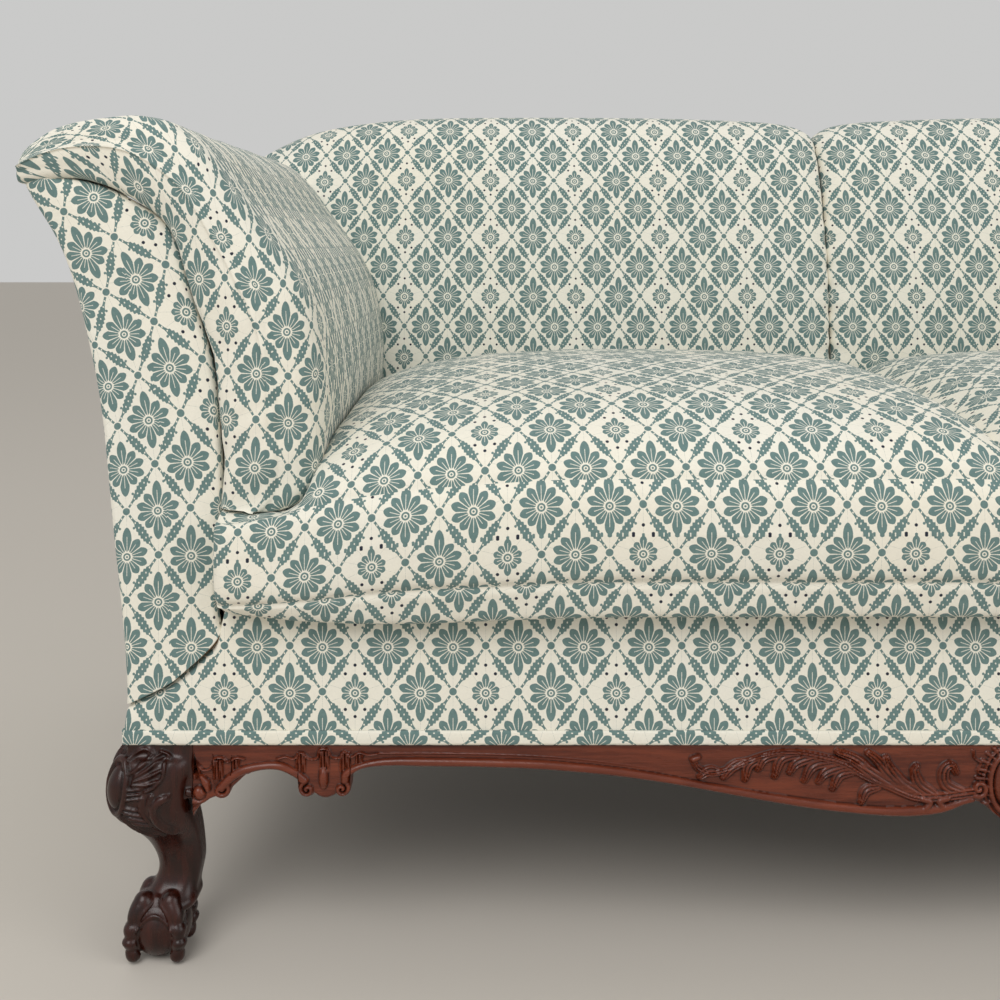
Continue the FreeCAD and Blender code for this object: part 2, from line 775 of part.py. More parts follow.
tack_in = half_base - 85.0
arm_web_path = [
    Vector(tack_in, 0, tack_low + 4.0), Vector(tack_in, 0, tack_low + 48.0),
    Vector(top_rail_in, 0, top_rail_low + 14.0), Vector(top_rail_in, 0, top_rail_high - 4.0)]
arm_web_outline = arm_web_path + [p - Vector(web_thickness, 0, 0) for p in arm_web_path[::-1]]
for share in (0.18, 0.4, 0.62, 0.84):
    y = arm_start + (arm_end_low - arm_start) * share
    strip = prism(arm_web_outline, list(range(8)), y - web_width / 2, y + web_width / 2)
    body_web += [strip, mirrored(strip)]

# Covers: border, facings, pads
lap_high = deck_top - 12.0
lap_low = base_height + 40.0
lap_in = half_base - 97.0
lap = [
    Vector(half_base + 0.5, 0, lap_low - 4.0),
    Vector(half_base - 10.0, 0, lap_low + 1.0),
    Vector(half_base - 36.0, 0, lap_low + 14.0),
    Vector(half_base - 72.0, 0, lap_low + 41.0),
    Vector(half_base - 90.0, 0, lap_high - 30.0),
    Vector(lap_in, 0, lap_high),
]


def front_border():
    cut_points = [
        Vector(half_base + 60.0, 0, lap_low - 4.0)] + lap + [
        Vector(lap_in, 0, deck_top + 60.0), Vector(half_base + 60.0, 0, deck_top + 60.0)]
    last = len(cut_points) - 1
    cutter = prism(cut_points, [0, 1, last - 2, last - 1, last], front_y - 5, frame_y + 5)
    body = box(-half_base, half_base, front_y, front_y + border_thickness,
               base_height + 0.3, deck_top)
    top_edges = [e for e in body.Edges
                 if abs(e.CenterOfMass.z - deck_top) < 0.1 and abs(e.CenterOfMass.y - front_y) < 0.1]
    body = body.makeFillet(border_round, top_edges)
    return body.cut(cutter).cut(mirrored(cutter))


def facing():
    outer = outer_side[2:]
    inner_low = Vector(half_base - 91.0, 0, deck_top + 30.0)
    points = [p + Vector(0, 0, soft_gap) for p in lap] + [inner_low]
    points += [Vector(half_base - 91.5, 0, pad_bottom)] + groove + outer[::-1]
    points += [outer_side[1]]
    first = len(lap) - 1
    inner_start = first + 2
    top = inner_start + len(groove) + 1
    shrunk = inset(points, soft_gap)
    return prism(shrunk, [0, first, inner_start, top, len(points) - 1][:4],
                 front_y, front_y + border_thickness)


def arm_pad():
    """The thick pad of the inside arm, in one with the roll. Its nose is domed."""
    back_end = back_rail_y + back_lean
    stations = [(front_y - pad_nose, 8.5), (front_y - 0.6 * pad_nose, 4.0),
                (front_y + 2.0, 0.8), (front_y + 18.0, 0.0), (back_end, 0.0)]
    wires = []
    for y, distance in stations:
        points = [p + Vector(0, y, 0) for p in inset(pad_points, distance)]
        wires.append(wire_through(runs_of(points, pad_breaks)))
    pad = Part.makeLoft(wires, True, True)
    behind = leaning_board(inner_side - 60, half_base + 200, back_rail_y - 0.3,
                           overall_depth, base_height, back_height + 50)
    stile = leaning_board(inner_side - 60, post_outer + 0.6, back_front - 3.0, overall_depth,
                          base_height, back_height + 50)
    block = leaning_board(inner_side - 60, top_rail_out + 0.6, back_front - 0.5, overall_depth,
                          base_height, top_rail_high + 0.6)
    return pad.cut(behind).cut(stile).cut(block)


def outside_arm():
    """The outer panel, from the base up to the roll's underside."""
    outer = [Vector(p.x, 0, p.z) for p in outer_side[:-1]]
    outer[0].z = base_height + 0.3
    inner = [p + Vector(-cover_thickness, 0, 0) for p in outer[::-1]]
    points = outer + inner
    breaks = [0, len(outer) - 1, len(outer), len(points) - 1]
    panel = prism(points, breaks, front_y + border_thickness + 0.1, overall_depth)
    behind = leaning_board(half_base - 100, half_base + 200, back_rail_y - 0.1, overall_depth + 200,
                           base_height - 20, back_height)
    return panel.cut(behind)


def back_panel():
    """The outside back: the whole outline of the sofa's back, one thin leaning sheet."""
    right = [Vector(p.x, 0, p.z) for p in outer_side[:-1]]
    right[0].z = base_height + 0.3
    shoulder = [arm_point(roll_overhang - 1.0, 0.9), arm_point(83.5, 0.95), arm_point(45.0, 0.985)]
    upper = crest_curve(0, back_pad_round + 3.0, half_base + 8.0)[::-1]
    right_side = right + shoulder
    left_side = [Vector(-p.x, 0, p.z) for p in right_side][::-1]
    points = right_side + upper + left_side
    breaks = [0, len(right_side) - 1, len(right_side), len(right_side) + len(upper) - 1,
              len(right_side) + len(upper), len(points) - 1]
    flat = prism(points, breaks, 0.0, overall_depth + 200)
    sheet = leaning_board(-half_base - 200, half_base + 200, back_rail_y, back_y,
                          base_height, back_height + 50)
    return flat.common(sheet).cut(back_cushioning).cut(mirrored(back_cushioning))


def back_pad():
    """The right back pad: a crowned face that rolls over the top rail."""
    low = deck_top + 2.0
    stations = [cushion_middle_gap / 2, 40.0, 0.25 * crest_half, 0.56 * crest_half,
                0.76 * crest_half, 0.87 * crest_half, 0.94 * crest_half, crest_half]
    end_inset = [16.0, 3.0, 0.0, 0.0, 0.0, 3.0, 9.0, 16.0]
    wires = []
    for x, drawn in zip(stations, end_inset):
        top = back_height - crest(x / crest_half)
        y0 = seat_back_y + drawn
        rise = top - low
        face = [
            Vector(x, y0 + 4.0, low),
            Vector(x, y0 - 4.0, low + 0.22 * rise),
            Vector(x, y0 + 3.0, low + 0.45 * rise),
            Vector(x, y0 + 22.0, low + 0.67 * rise),
            Vector(x, y0 + 52.0, low + 0.86 * rise),
            Vector(x, y0 + 84.0, low + 0.965 * rise),
        ]
        over = [
            face[-1],
            Vector(x, leaned(back_rail_y, top) - 28.0, top),
            Vector(x, leaned(back_y, top) - 8.0, top - 11.0),
            Vector(x, leaned(back_y, top) - 0.5, top - back_pad_round + 12.0),
            Vector(x, leaned(back_y, top) - 2.0, top - back_pad_round + 1.0),
        ]
        seat = top - back_pad_round + 1.0
        shelf = Vector(x, leaned(back_front - 2.3, seat), seat)
        foot = Vector(x, leaned(back_front - 2.3, low), low)
        front = face + over[1:]
        wires.append(wire_through([front, [front[-1], shelf], [shelf, foot], [foot, face[0]]]))
    pad = Part.makeLoft(wires, True, False)
    first = len(roll_top) - 1
    face = inset(pad_points, -pad_gap)[first:first + len(inner_face) + 3]
    side = half_base - 93.0
    far = half_base + 200.0
    outline = face + [
        Vector(side, 0, face[-1].z), Vector(side, 0, low - 20.0),
        Vector(far, 0, low - 20.0), Vector(far, 0, face[0].z)]
    last = len(face) - 1
    zone = prism(outline, [0, last, last + 1, last + 2, last + 3, last + 4],
                 front_y, overall_depth)
    return pad.cut(zone)


def cushion_form(shrink):
    """A loose seat cushion, crowned, with a border that is drawn in at its corners."""
    x0 = cushion_middle_gap / 2 + shrink
    x1 = cushion_side - shrink
    bottom = deck_top + cushion_lift + shrink
    y_front = -overall_depth / 2 + shrink
    y_back = seat_back_y - 4.0 - cushion_rear_gap - shrink
    stations = [
        (0.0, 0.93, 0.8), (0.07, 1.0, 0.92), (0.24, 1.0, 0.975), (0.5, 1.0, 0.985),
        (0.72, 0.94, 0.93), (0.88, 0.66, 0.76), (1.0, 0.36, 0.52)]
    wires = []
    for share, plump, height in stations:
        x = x0 + (x1 - x0) * share
        lower = bottom + 4.0 + 25.0 * plump
        upper = lower + cushion_corner_border + (cushion_border - cushion_corner_border) * plump
        upper -= 2 * shrink
        top = bottom + cushion_crown * height - 2 * shrink
        front = y_front + 7.0 * (1.0 - plump)
        back = y_back - 8.0 * (1.0 - plump)
        under = Vector(x, front + 34.0, bottom)
        seam_low = Vector(x, front + 4.0, lower)
        seam_high = Vector(x, front + 6.0, upper)
        back_high = Vector(x, back - 6.0, upper + 4.0)
        back_under = Vector(x, back - 24.0, bottom)
        middle = (y_front + y_back) / 2
        edges = [
            Part.LineSegment(back_under, under).toShape(),
            Part.Arc(under, Vector(x, front + 13.0, bottom + 0.3 * (lower - bottom)),
                     seam_low).toShape(),
            Part.Arc(seam_low, Vector(x, front, (lower + upper) / 2), seam_high).toShape(),
            edge_through([
                seam_high,
                Vector(x, front + 46.0, upper + 0.48 * (top - upper)),
                Vector(x, front + 140.0, upper + 0.85 * (top - upper)),
                Vector(x, middle, top),
                Vector(x, back - 110.0, upper + 0.86 * (top - upper)),
                back_high]),
            Part.Arc(back_high, Vector(x, back, (lower + upper) / 2), back_under).toShape(),
        ]
        wires.append(Part.Wire(edges))
    form = Part.makeLoft(wires, True, False)
    clear = pad_gap + shrink
    press = prism(inset(pad_points, -clear), pad_breaks, front_y - pad_nose - 1.0 - shrink,
                  overall_depth)
    shelf = box(half_base - 110.0, half_base, front_y - pad_nose - 1.0 - shrink, overall_depth,
                pad_bottom - clear, back_height)
    back = back_cushioning.copy()
    back.translate(Vector(0, -clear, 0))
    return form.cut(press).cut(shelf).cut(back)


pad = arm_pad()
back_cushioning = back_pad()
lining = box(half_base - 89.0, half_base - 89.0 + lining_thickness, arm_start + 0.5,
             back_front - 1.0, rail_top + 0.3, pad_bottom - 0.5)
cushion_outer = cushion_form(0.0)
cushion_void = cushion_form(cloth_thickness)
cushion_insert = cushion_form(cloth_thickness + insert_gap)
cushion_cover = cushion_outer.cut(cushion_void)

# Bands along the lower edge
band_top = base_height + band_height
front_band = box(-half_base - 1.0, half_base + 1.0, front_y - band_thickness, front_y,
                 base_height + 0.3, band_top)
side_band = box(half_base + 0.6, half_base + 0.6 + band_thickness, front_y + 0.1, back_y - 1.0,
                base_height + 0.3, band_top)
rear_band = leaning_board(-half_base - 1.0, half_base + 1.0, back_y, back_y + band_thickness,
                          base_height + 0.3, band_top)

# Files
save_pair("front_leg", wood["front_leg_right"])
save_pair("rear_leg", wood["rear_leg_right"])
save("front_apron", front_rail_wood)
save_pair("side_apron", side_rail_wood)
save("rear_apron", rear_apron)
save_pair("knee_ear_front", ear)
save("knee_ears_side", [side_ear, mirrored(side_ear)])
for name in ("seat_rail", "front_arm_post", "arm_block", "arm_top_rail", "arm_tack_rail",
             "back_post"):
    save_pair(name, wood[name + "_right"])
for name in ("seat_rail_front", "seat_rail_back", "seat_cross_rail", "back_tack_rail",
             "back_post_centre", "back_top_rail"):
    save(name, wood[name])
save("corner_blocks", corner_blocks + [mirrored(b) for b in corner_blocks])
save("corner_block_screws", screws + [mirrored(s) for s in screws])
save("frame_dowels", dowel_solids + [mirrored(d) for d in dowel_solids])
save("seat_webbing", web_long + web_cross)
save("seat_springs", springs)
save("spring_hessian", hessian)
save("seat_edge_roll", edge_roll)
save("seat_stuffing", stuffing)
save("seat_deck_cover", deck)
save("body_webbing", body_web)
save("dust_cover", dust)
save("front_border", front_border())
save_pair("arm_facing", facing())
save_pair("arm_pad", pad)
save_pair("arm_lining", lining)
save_pair("outside_arm", outside_arm())
save("outside_back", back_panel())
save_pair("back_pad", back_cushioning)
save("front_band", front_band)
save_pair("side_band", side_band)
save("rear_band", rear_band)
save_pair("seat_cushion_cover", cushion_cover)
save_pair("seat_cushion_insert", cushion_insert)
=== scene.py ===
"""Cabriole sofa: upholstery, carved show-wood and the works inside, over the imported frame."""

import math

import bmesh
import bpy
import numpy as np
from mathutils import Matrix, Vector
from mathutils.kdtree import KDTree


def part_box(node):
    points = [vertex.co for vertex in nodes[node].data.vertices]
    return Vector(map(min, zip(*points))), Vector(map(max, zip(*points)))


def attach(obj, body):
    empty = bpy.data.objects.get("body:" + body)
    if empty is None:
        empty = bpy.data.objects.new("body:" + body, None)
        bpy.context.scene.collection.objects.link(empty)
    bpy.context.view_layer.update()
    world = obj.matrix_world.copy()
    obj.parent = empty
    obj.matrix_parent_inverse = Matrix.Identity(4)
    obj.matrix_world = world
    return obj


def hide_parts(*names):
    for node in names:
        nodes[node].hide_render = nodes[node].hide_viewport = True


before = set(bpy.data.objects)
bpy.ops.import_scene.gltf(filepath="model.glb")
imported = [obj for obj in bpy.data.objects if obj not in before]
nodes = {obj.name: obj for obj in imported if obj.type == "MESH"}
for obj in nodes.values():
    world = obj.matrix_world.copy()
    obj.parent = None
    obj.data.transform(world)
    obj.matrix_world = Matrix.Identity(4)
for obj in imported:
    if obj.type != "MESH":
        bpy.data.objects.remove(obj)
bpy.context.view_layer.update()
MM = 0.001


def node_box(name):
    """A node's lowest and highest corners as arrays, in metres."""
    low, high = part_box(name)
    return np.array(low), np.array(high)


# Places read from the frame, on the right side
facing_low, facing_high = node_box("arm_facing_right")
pad_low, pad_high = node_box("arm_pad_right")
border_low, border_high = node_box("front_border")
cover_low, cover_high = node_box("seat_cushion_cover_right")
back_low, back_high = node_box("back_pad_right")
outside_low, outside_high = node_box("outside_arm_right")
panel_low, panel_high = node_box("outside_back")
_, apron_high = node_box("front_apron")
base_top = apron_high[2]
half_base = border_high[0]
crest_top = back_high[2]
front_y = facing_low[1]
lean = 38.0 / 691.0
# Depths of the back at the base: the back pad's inner face and the outside back's skin
BACK_INNER = 0.322
BACK_SKIN = 0.372
# Points that the arm's outlines pass, seen from the front: outer side, groove and lap
OUTER_SIDE = (0.892, 0.556)
GROOVE = (0.7815, 0.6018)
LAP = (0.82, 0.28)


# Curves and noise
def smooth(a, b, x):
    t = np.clip((np.asarray(x, float) - a) / (b - a), 0.0, 1.0)
    return t * t * (3.0 - 2.0 * t)


def curve(points, count):
    """A smooth line through the points, at even steps of its length."""
    p = np.array(points, float)
    padded = np.vstack([2 * p[0] - p[1], p, 2 * p[-1] - p[-2]])
    fine = []
    t = np.linspace(0, 1, 24, endpoint=False)[:, None]
    for a, b, c, d in zip(padded, padded[1:], padded[2:], padded[3:]):
        fine.append(0.5 * (2 * b + (c - a) * t + (2 * a - 5 * b + 4 * c - d) * t ** 2
                           + (3 * b - a - 3 * c + d) * t ** 3))
    fine = np.vstack(fine + [p[-1:]])
    return even(fine, count)


def even(line, count):
    """The same line with that many points at even steps."""
    steps = np.linalg.norm(np.diff(line, axis=0), axis=1)
    along = np.concatenate([[0.0], np.cumsum(steps)])
    at = np.linspace(0, along[-1], count)
    return np.stack([np.interp(at, along, line[:, k]) for k in range(line.shape[1])], axis=1)


def value_noise(points, size, seed):
    """Smooth noise from -1 to 1 on 3-D points, with bumps about that size."""
    cell = points / size
    low = np.floor(cell).astype(np.int64)
    part = cell - low
    part = part * part * (3 - 2 * part)
    total = np.zeros(len(points))
    for corner in range(8):
        offset = np.array([corner & 1, corner >> 1 & 1, corner >> 2 & 1])
        at = low + offset
        hashed = at[:, 0] * 73856093 ^ at[:, 1] * 19349663 ^ at[:, 2] * 83492791 ^ seed * 2654435761
        hashed = (hashed ^ hashed >> 13) * 1274126177 & 0xFFFFFFFF
        hashed = (hashed ^ hashed >> 16) & 0xFFFF
        weight = np.prod(np.where(offset == 1, part, 1 - part), axis=1)
        total += weight * (hashed / 32767.5 - 1.0)
    return total


# Materials
class Num:
    """A number inside a material. Arithmetic on it adds Math nodes."""

    def __init__(self, tree, socket):
        self.tree = tree
        self.socket = socket

    def op(self, operation, *values):
        return op(self.tree, operation, self, *values)

    def __add__(self, other):
        return self.op("ADD", other)

    def __sub__(self, other):
        return self.op("SUBTRACT", other)

    def __rsub__(self, other):
        return op(self.tree, "SUBTRACT", other, self)

    def __mul__(self, other):
        return self.op("MULTIPLY", other)

    def __truediv__(self, other):
        return self.op("DIVIDE", other)

    __radd__ = __add__
    __rmul__ = __mul__


def plug(tree, socket, value):
    """Links a value to a socket, or sets the socket to it."""
    if isinstance(value, Num):
        value = value.socket
    if isinstance(value, bpy.types.NodeSocket):
        tree.links.new(value, socket)
    else:
        socket.default_value = value


def op(tree, operation, *values):
    node = tree.nodes.new("ShaderNodeMath")
    node.operation = operation
    for socket, value in zip(node.inputs, values):
        plug(tree, socket, value)
    return Num(tree, node.outputs[0])


def length(x, y):
    return (x * x + y * y).op("SQRT")


def clamp(x):
    return x.op("MINIMUM", 1.0).op("MAXIMUM", 0.0)


def mask(inside, soft=0.35):
    """1 where a signed distance in millimetres is positive, with a soft edge."""
    return clamp(inside / soft + 0.5)


def srgb(red, green, blue):
    """A colour as it looks on screen, from 0 to 255, as a linear one."""
    channels = []
    for value in (red / 255, green / 255, blue / 255):
        channels.append(value / 12.92 if value <= 0.04045 else ((value + 0.055) / 1.055) ** 2.4)
    return (*channels, 1.0)


def new_material(name, **settings):
    """A material with a Principled shader, whose plain sockets are set by name."""
    material = bpy.data.materials.new(name)
    material.use_nodes = True
    shader = material.node_tree.nodes["Principled BSDF"]
    for socket, value in settings.items():
        shader.inputs[socket.replace("_", " ")].default_value = value
    return material, material.node_tree, shader


def add_node(tree, kind, inputs=(), **settings):
    node = tree.nodes.new(kind)
    for name, value in settings.items():
        setattr(node, name, value)
    for name, value in dict(inputs).items():
        plug(tree, node.inputs[name], value)
    return node


def noise(tree, vector, scale, detail=2.0, roughness=0.5):
    node = add_node(tree, "ShaderNodeTexNoise", {"Vector": vector, "Scale": scale,
                                                 "Detail": detail, "Roughness": roughness})
    return Num(tree, node.outputs["Fac"])


def mixed(tree, factor, a, b, blend="MIX"):
    """The colour between a and b."""
    node = add_node(tree, "ShaderNodeMix", data_type="RGBA", blend_type=blend)
    for socket, value in ((0, factor), (6, a), (7, b)):
        plug(tree, node.inputs[socket], value)
    return node.outputs[2]


def object_place(tree, scale=None):
    """The place on the object, stretched along its axes where a scale is given."""
    place = add_node(tree, "ShaderNodeTexCoord").outputs["Object"]
    if scale is None:
        return place
    return add_node(tree, "ShaderNodeMapping", {"Vector": place, "Scale": scale}).outputs["Vector"]


def paint(tree, shader, colour, normal=None, rough=None):
    """Gives a shader its colour, and its normal and roughness where they vary."""
    for name, value in (("Base Color", colour), ("Normal", normal), ("Roughness", rough)):
        if value is not None:
            plug(tree, shader.inputs[name], value)


def bump(tree, height, distance, strength=1.0, normal=None):
    inputs = {"Height": height, "Distance": distance, "Strength": strength}
    if normal is not None:
        inputs["Normal"] = normal
    return add_node(tree, "ShaderNodeBump", inputs).outputs["Normal"]


# The print: a leafy diamond trellis with palmettes, and a sprig in every fourth diamond
COLUMN = 64.0
ROW = 90.0
EDGE_STEP = COLUMN * ROW / math.hypot(COLUMN, ROW)
EDGE_LENGTH = math.hypot(COLUMN, ROW) / 2


def print_cell(tree):
    """The place inside a diamond, in millimetres from its middle, and whether it holds a sprig."""
    uv = add_node(tree, "ShaderNodeUVMap", uv_map="print")
    parts = add_node(tree, "ShaderNodeSeparateXYZ", {"Vector": uv.outputs["UV"]})
    u = Num(tree, parts.outputs["X"]) * (1000.0 / COLUMN)
    v = Num(tree, parts.outputs["Y"]) * (1000.0 / ROW)
    across = u.op("PINGPONG", 0.5)
    up = v.op("WRAP", 0.5, -0.5)
    outside = (across + up.op("ABSOLUTE")).op("GREATER_THAN", 0.5)
    x = across + outside * (0.5 - 2.0 * across)
    y = up - outside * 0.5 * up.op("SIGN")
    even_column = (u * 0.5).op("PINGPONG", 0.5).op("LESS_THAN", 0.25)
    return x, y, even_column * (1.0 - outside)


def trellis(x, y):
    """Signed distance inside the leafy stems and the rosettes where they cross."""
    edge = (0.5 - x - y.op("ABSOLUTE")) * EDGE_STEP
    along = ((x - y.op("ABSOLUTE")) * EDGE_LENGTH).op("ABSOLUTE")
    taper = 1.0 - (along / 17.0).op("POWER", 2.0)
    notch = (along.op("PINGPONG", 2.1) - 1.0) * 0.75
    leaf = taper.op("MAXIMUM", 0.0) * (4.1 + notch)
    stem = leaf.op("MAXIMUM", 1.15) - edge
    seed = length(edge, along.op("PINGPONG", 3.1)) - 0.8
    stem = stem.op("MINIMUM", seed)
    side = length((0.5 - x) * COLUMN, y * ROW)
    top = length(x * COLUMN, (0.5 - y.op("ABSOLUTE")) * ROW)
    crossing = side.op("MINIMUM", top)
    return stem.op("MINIMUM", crossing - 5.0).op("MAXIMUM", 3.7 - crossing)


def palmette(tree, x, y, sprig):
    """Signed distance inside ten leaves round a ringed eye."""
    px = x * COLUMN
    py = y * ROW + 1.5
    radius = length(px, py)
    angle = op(tree, "ARCTAN2", px, py) / (math.pi / 5)
    leaf = (angle + 0.5).op("FLOOR")
    turn = (angle - leaf) * (math.pi / 5)
    along = radius * turn.op("COSINE")
    aside = (radius * turn.op("SINE")).op("ABSOLUTE")
    reach = 21.5 + 8.5 * leaf.op("LESS_THAN", 0.5) + 6.5 * leaf.op("GREATER_THAN", 4.5)
    reach = reach - 1.5 * leaf.op("COMPARE", 4.0, 0.4) + 0.5 * leaf.op("COMPARE", 2.0, 0.4)
    reach = reach * (1.0 - 0.36 * sprig)
    share = clamp((along - 5.2) / (reach - 5.2))
    bulge = (share.op("POWER", 1.15) * (1.0 - share) * 4.2).op("MAXIMUM", 0.0)
    width = bulge.op("POWER", 0.6) * (4.9 - 1.3 * sprig)
    inside = width.op("MINIMUM", along * 0.285) - aside
    vein = aside - 0.3 + 9.0 * share.op("GREATER_THAN", 0.62)
    inside = inside.op("MINIMUM", vein)
    eye = (0.85 - (radius - 3.1).op("ABSOLUTE")).op("MAXIMUM", 1.1 - radius)
    return inside.op("MAXIMUM", eye)


def dots(x, y, places, size):
    """Signed distance inside small dots at places given in millimetres on the right half."""
    found = None
    for across, up in places:
        dot = size - length(x * COLUMN - across, y * ROW - up)
        found = dot if found is None else found.op("MAXIMUM", dot)
    return found


def fabric():
    """Printed linen union: teal on ivory, with a few near-black seeds."""
    material, tree, shader = new_material("print_cloth", Roughness=0.88, Specular_IOR_Level=0.22,
                                          Sheen_Weight=0.12, Sheen_Roughness=0.5)
    x, y, sprig = print_cell(tree)
    teal = trellis(x, y).op("MAXIMUM", palmette(tree, x, y, sprig))
    teal = teal.op("MAXIMUM", dots(x, y, [(7.4, 27.5), (7.4, -27.5)], 1.3))
    seeds = dots(x, y, [(0.0, 26.0), (9.5, 17.5), (9.5, -17.5), (0.0, -24.5)], 1.6)
    place = object_place(tree)
    wear = noise(tree, place, 900.0, 2.0)
    teal_mask = mask(teal + (wear - 0.5) * 0.5)
    seed_mask = mask(seeds) * sprig
    tint = noise(tree, place, 5.0, 3.0)
    ivory = mixed(tree, tint, srgb(242, 235, 216), srgb(240, 238, 227))
    fleck = noise(tree, place, 260.0, 3.0, 0.7)
    blue_green = mixed(tree, fleck, srgb(90, 118, 116), srgb(121, 146, 143))
    colour = mixed(tree, teal_mask, ivory, blue_green)
    colour = mixed(tree, seed_mask, colour, srgb(38, 44, 58))
    slub = mixed(tree, noise(tree, place, 420.0, 2.0), (0.93, 0.93, 0.93, 1), (1.03, 1.03, 1.03, 1))
    colour = mixed(tree, 1.0, colour, slub, "MULTIPLY")
    uv = add_node(tree, "ShaderNodeUVMap", uv_map="print").outputs["UV"]
    threads = []
    for direction in ("X", "Y"):
        wave = add_node(tree, "ShaderNodeTexWave", {"Vector": uv, "Scale": 420.0, "Distortion": 1.2,
                                                    "Detail": 1.0, "Detail Scale": 2.0},
                        bands_direction=direction)
        threads.append(Num(tree, wave.outputs["Fac"]))
    weave = threads[0] * threads[1]
    normal = bump(tree, weave, 0.0003, 0.5)
    normal = bump(tree, noise(tree, place, 70.0, 4.0, 0.6), 0.0012, 0.5, normal)
    paint(tree, shader, colour, normal)
    return material


# Meshes
def linked(name, data):
    """A new object in the scene."""
    piece = bpy.data.objects.new(name, data)
    bpy.context.scene.collection.objects.link(piece)
    return piece


def build(name, points, faces, corner_uv, material):
    """A smooth-shaded mesh object with its own print map, in metres of cloth."""
    mesh = bpy.data.meshes.new(name)
    mesh.from_pydata([tuple(p) for p in points], [], faces)
    if corner_uv is not None:
        layer = mesh.uv_layers.new(name="print")
        layer.data.foreach_set("uv", np.asarray(corner_uv, np.float32).ravel())
    work = bmesh.new()
    work.from_mesh(mesh)
    bmesh.ops.recalc_face_normals(work, faces=work.faces)
    work.to_mesh(mesh)
    work.free()
    mesh.shade_smooth()
    mesh.materials.append(material)
    return linked(name, mesh)


def strips(count, n):
    """The points' indices in loops of n, and the loop, the place and the corners of each quad
    between neighbouring loops."""
    index = np.arange(count * n).reshape(count, n)
    i, j = [a.ravel() for a in np.meshgrid(np.arange(count - 1), np.arange(n), indexing="ij")]
    after = (j + 1) % n
    faces = np.stack([index[i, j], index[i, after], index[i + 1, after], index[i + 1, j]], axis=1)
    return index, i, j, [tuple(face) for face in faces.tolist()]


def loft(name, rows, uv, material, jumps=(), cap_axes=(0, 2), cap_rows=6):
    """A closed skin over loops of points, rows[i][j]. The ends are ladders from j to its partner
    n-1-j. uv has one more column than rows, and jumps maps a strip j to a step of the print."""
    rows = np.asarray(rows, float)
    uv = np.asarray(uv, float)
    count, n = rows.shape[:2]
    points = [rows.reshape(-1, 3)]
    index, i, j, faces = strips(count, n)
    step = np.zeros((n, 2))
    for strip, shift in dict(jumps).items():
        step[strip:] += shift
    corner_uv = np.stack([uv[i, j], uv[i, j + 1], uv[i + 1, j + 1], uv[i + 1, j]], axis=1)
    corner_uv = [(corner_uv + step[j][:, None]).reshape(-1, 2)]
    total = count * n
    half = n // 2
    for end in (0, count - 1):
        loop = rows[end]
        first = index[end, :half]
        last = index[end, ::-1][:half]
        share = np.linspace(0, 1, cap_rows + 1)[1:-1, None, None]
        between = loop[:half][None] * (1 - share) + loop[::-1][:half][None] * share
        middle = total + np.arange(between.shape[0] * half).reshape(-1, half)
        points.append(between.reshape(-1, 3))
        total += middle.size
        ladder = np.vstack([first, middle, last])
        flat = np.concatenate(points)[:, list(cap_axes)]
        for a, b in zip(ladder, ladder[1:]):
            for k in range(half - 1):
                face = (a[k], b[k], b[k + 1], a[k + 1])
                face = face if end == 0 else face[::-1]
                if len(set(face)) == 4:
                    faces.append(tuple(int(f) for f in face))
                    corner_uv.append(flat[list(face)])
    return build(name, np.concatenate(points), faces, np.concatenate(corner_uv), material)


def arrays(piece):
    """A mesh's points and their normals."""
    found = []
    for items, name in ((piece.data.vertices, "co"), (piece.data.vertex_normals, "vector")):
        values = np.zeros(len(items) * 3, np.float32)
        items.foreach_get(name, values)
        found.append(values.reshape(-1, 3).astype(float))
    return found


def set_points(piece, points):
    piece.data.vertices.foreach_set("co", np.asarray(points, np.float32).ravel())
    piece.data.update()


def apply_modifiers(piece):
    bpy.context.view_layer.update()
    graph = bpy.context.evaluated_depsgraph_get()
    mesh = bpy.data.meshes.new_from_object(piece.evaluated_get(graph), preserve_all_data_layers=True,
                                           depsgraph=graph)
    piece.modifiers.clear()
    piece.data = mesh


def subdivide(piece):
    modifier = piece.modifiers.new("subdivision", "SUBSURF")
    modifier.levels = 1
    modifier.render_levels = 1
    modifier.uv_smooth = "NONE"
    apply_modifiers(piece)


def mirrored(piece, name):
    """A copy on the other side of the sofa's middle. The print keeps its direction."""
    mesh = piece.data.copy()
    mesh.name = name
    copy = linked(name, mesh)
    set_points(copy, arrays(copy)[0] * (-1, 1, 1))
    mesh.flip_normals()
    mesh.update()
    return copy


def finished_in(piece, material):
    piece.data.materials.clear()
    piece.data.materials.append(material)


def remeshed(name, node, voxel):
    """A copy of a CAD node's mesh under a voxel remesh that is still to be applied."""
    piece = linked(name, nodes[node].data.copy())
    remesh = piece.modifiers.new("remesh", "REMESH")
    remesh.mode = "VOXEL"
    remesh.voxel_size = voxel
    remesh.use_smooth_shade = True
    return piece


def soften(piece, name, rounds, group=""):
    modifier = piece.modifiers.new(name, "SMOOTH")
    modifier.factor = 0.5
    modifier.iterations = rounds
    modifier.vertex_group = group


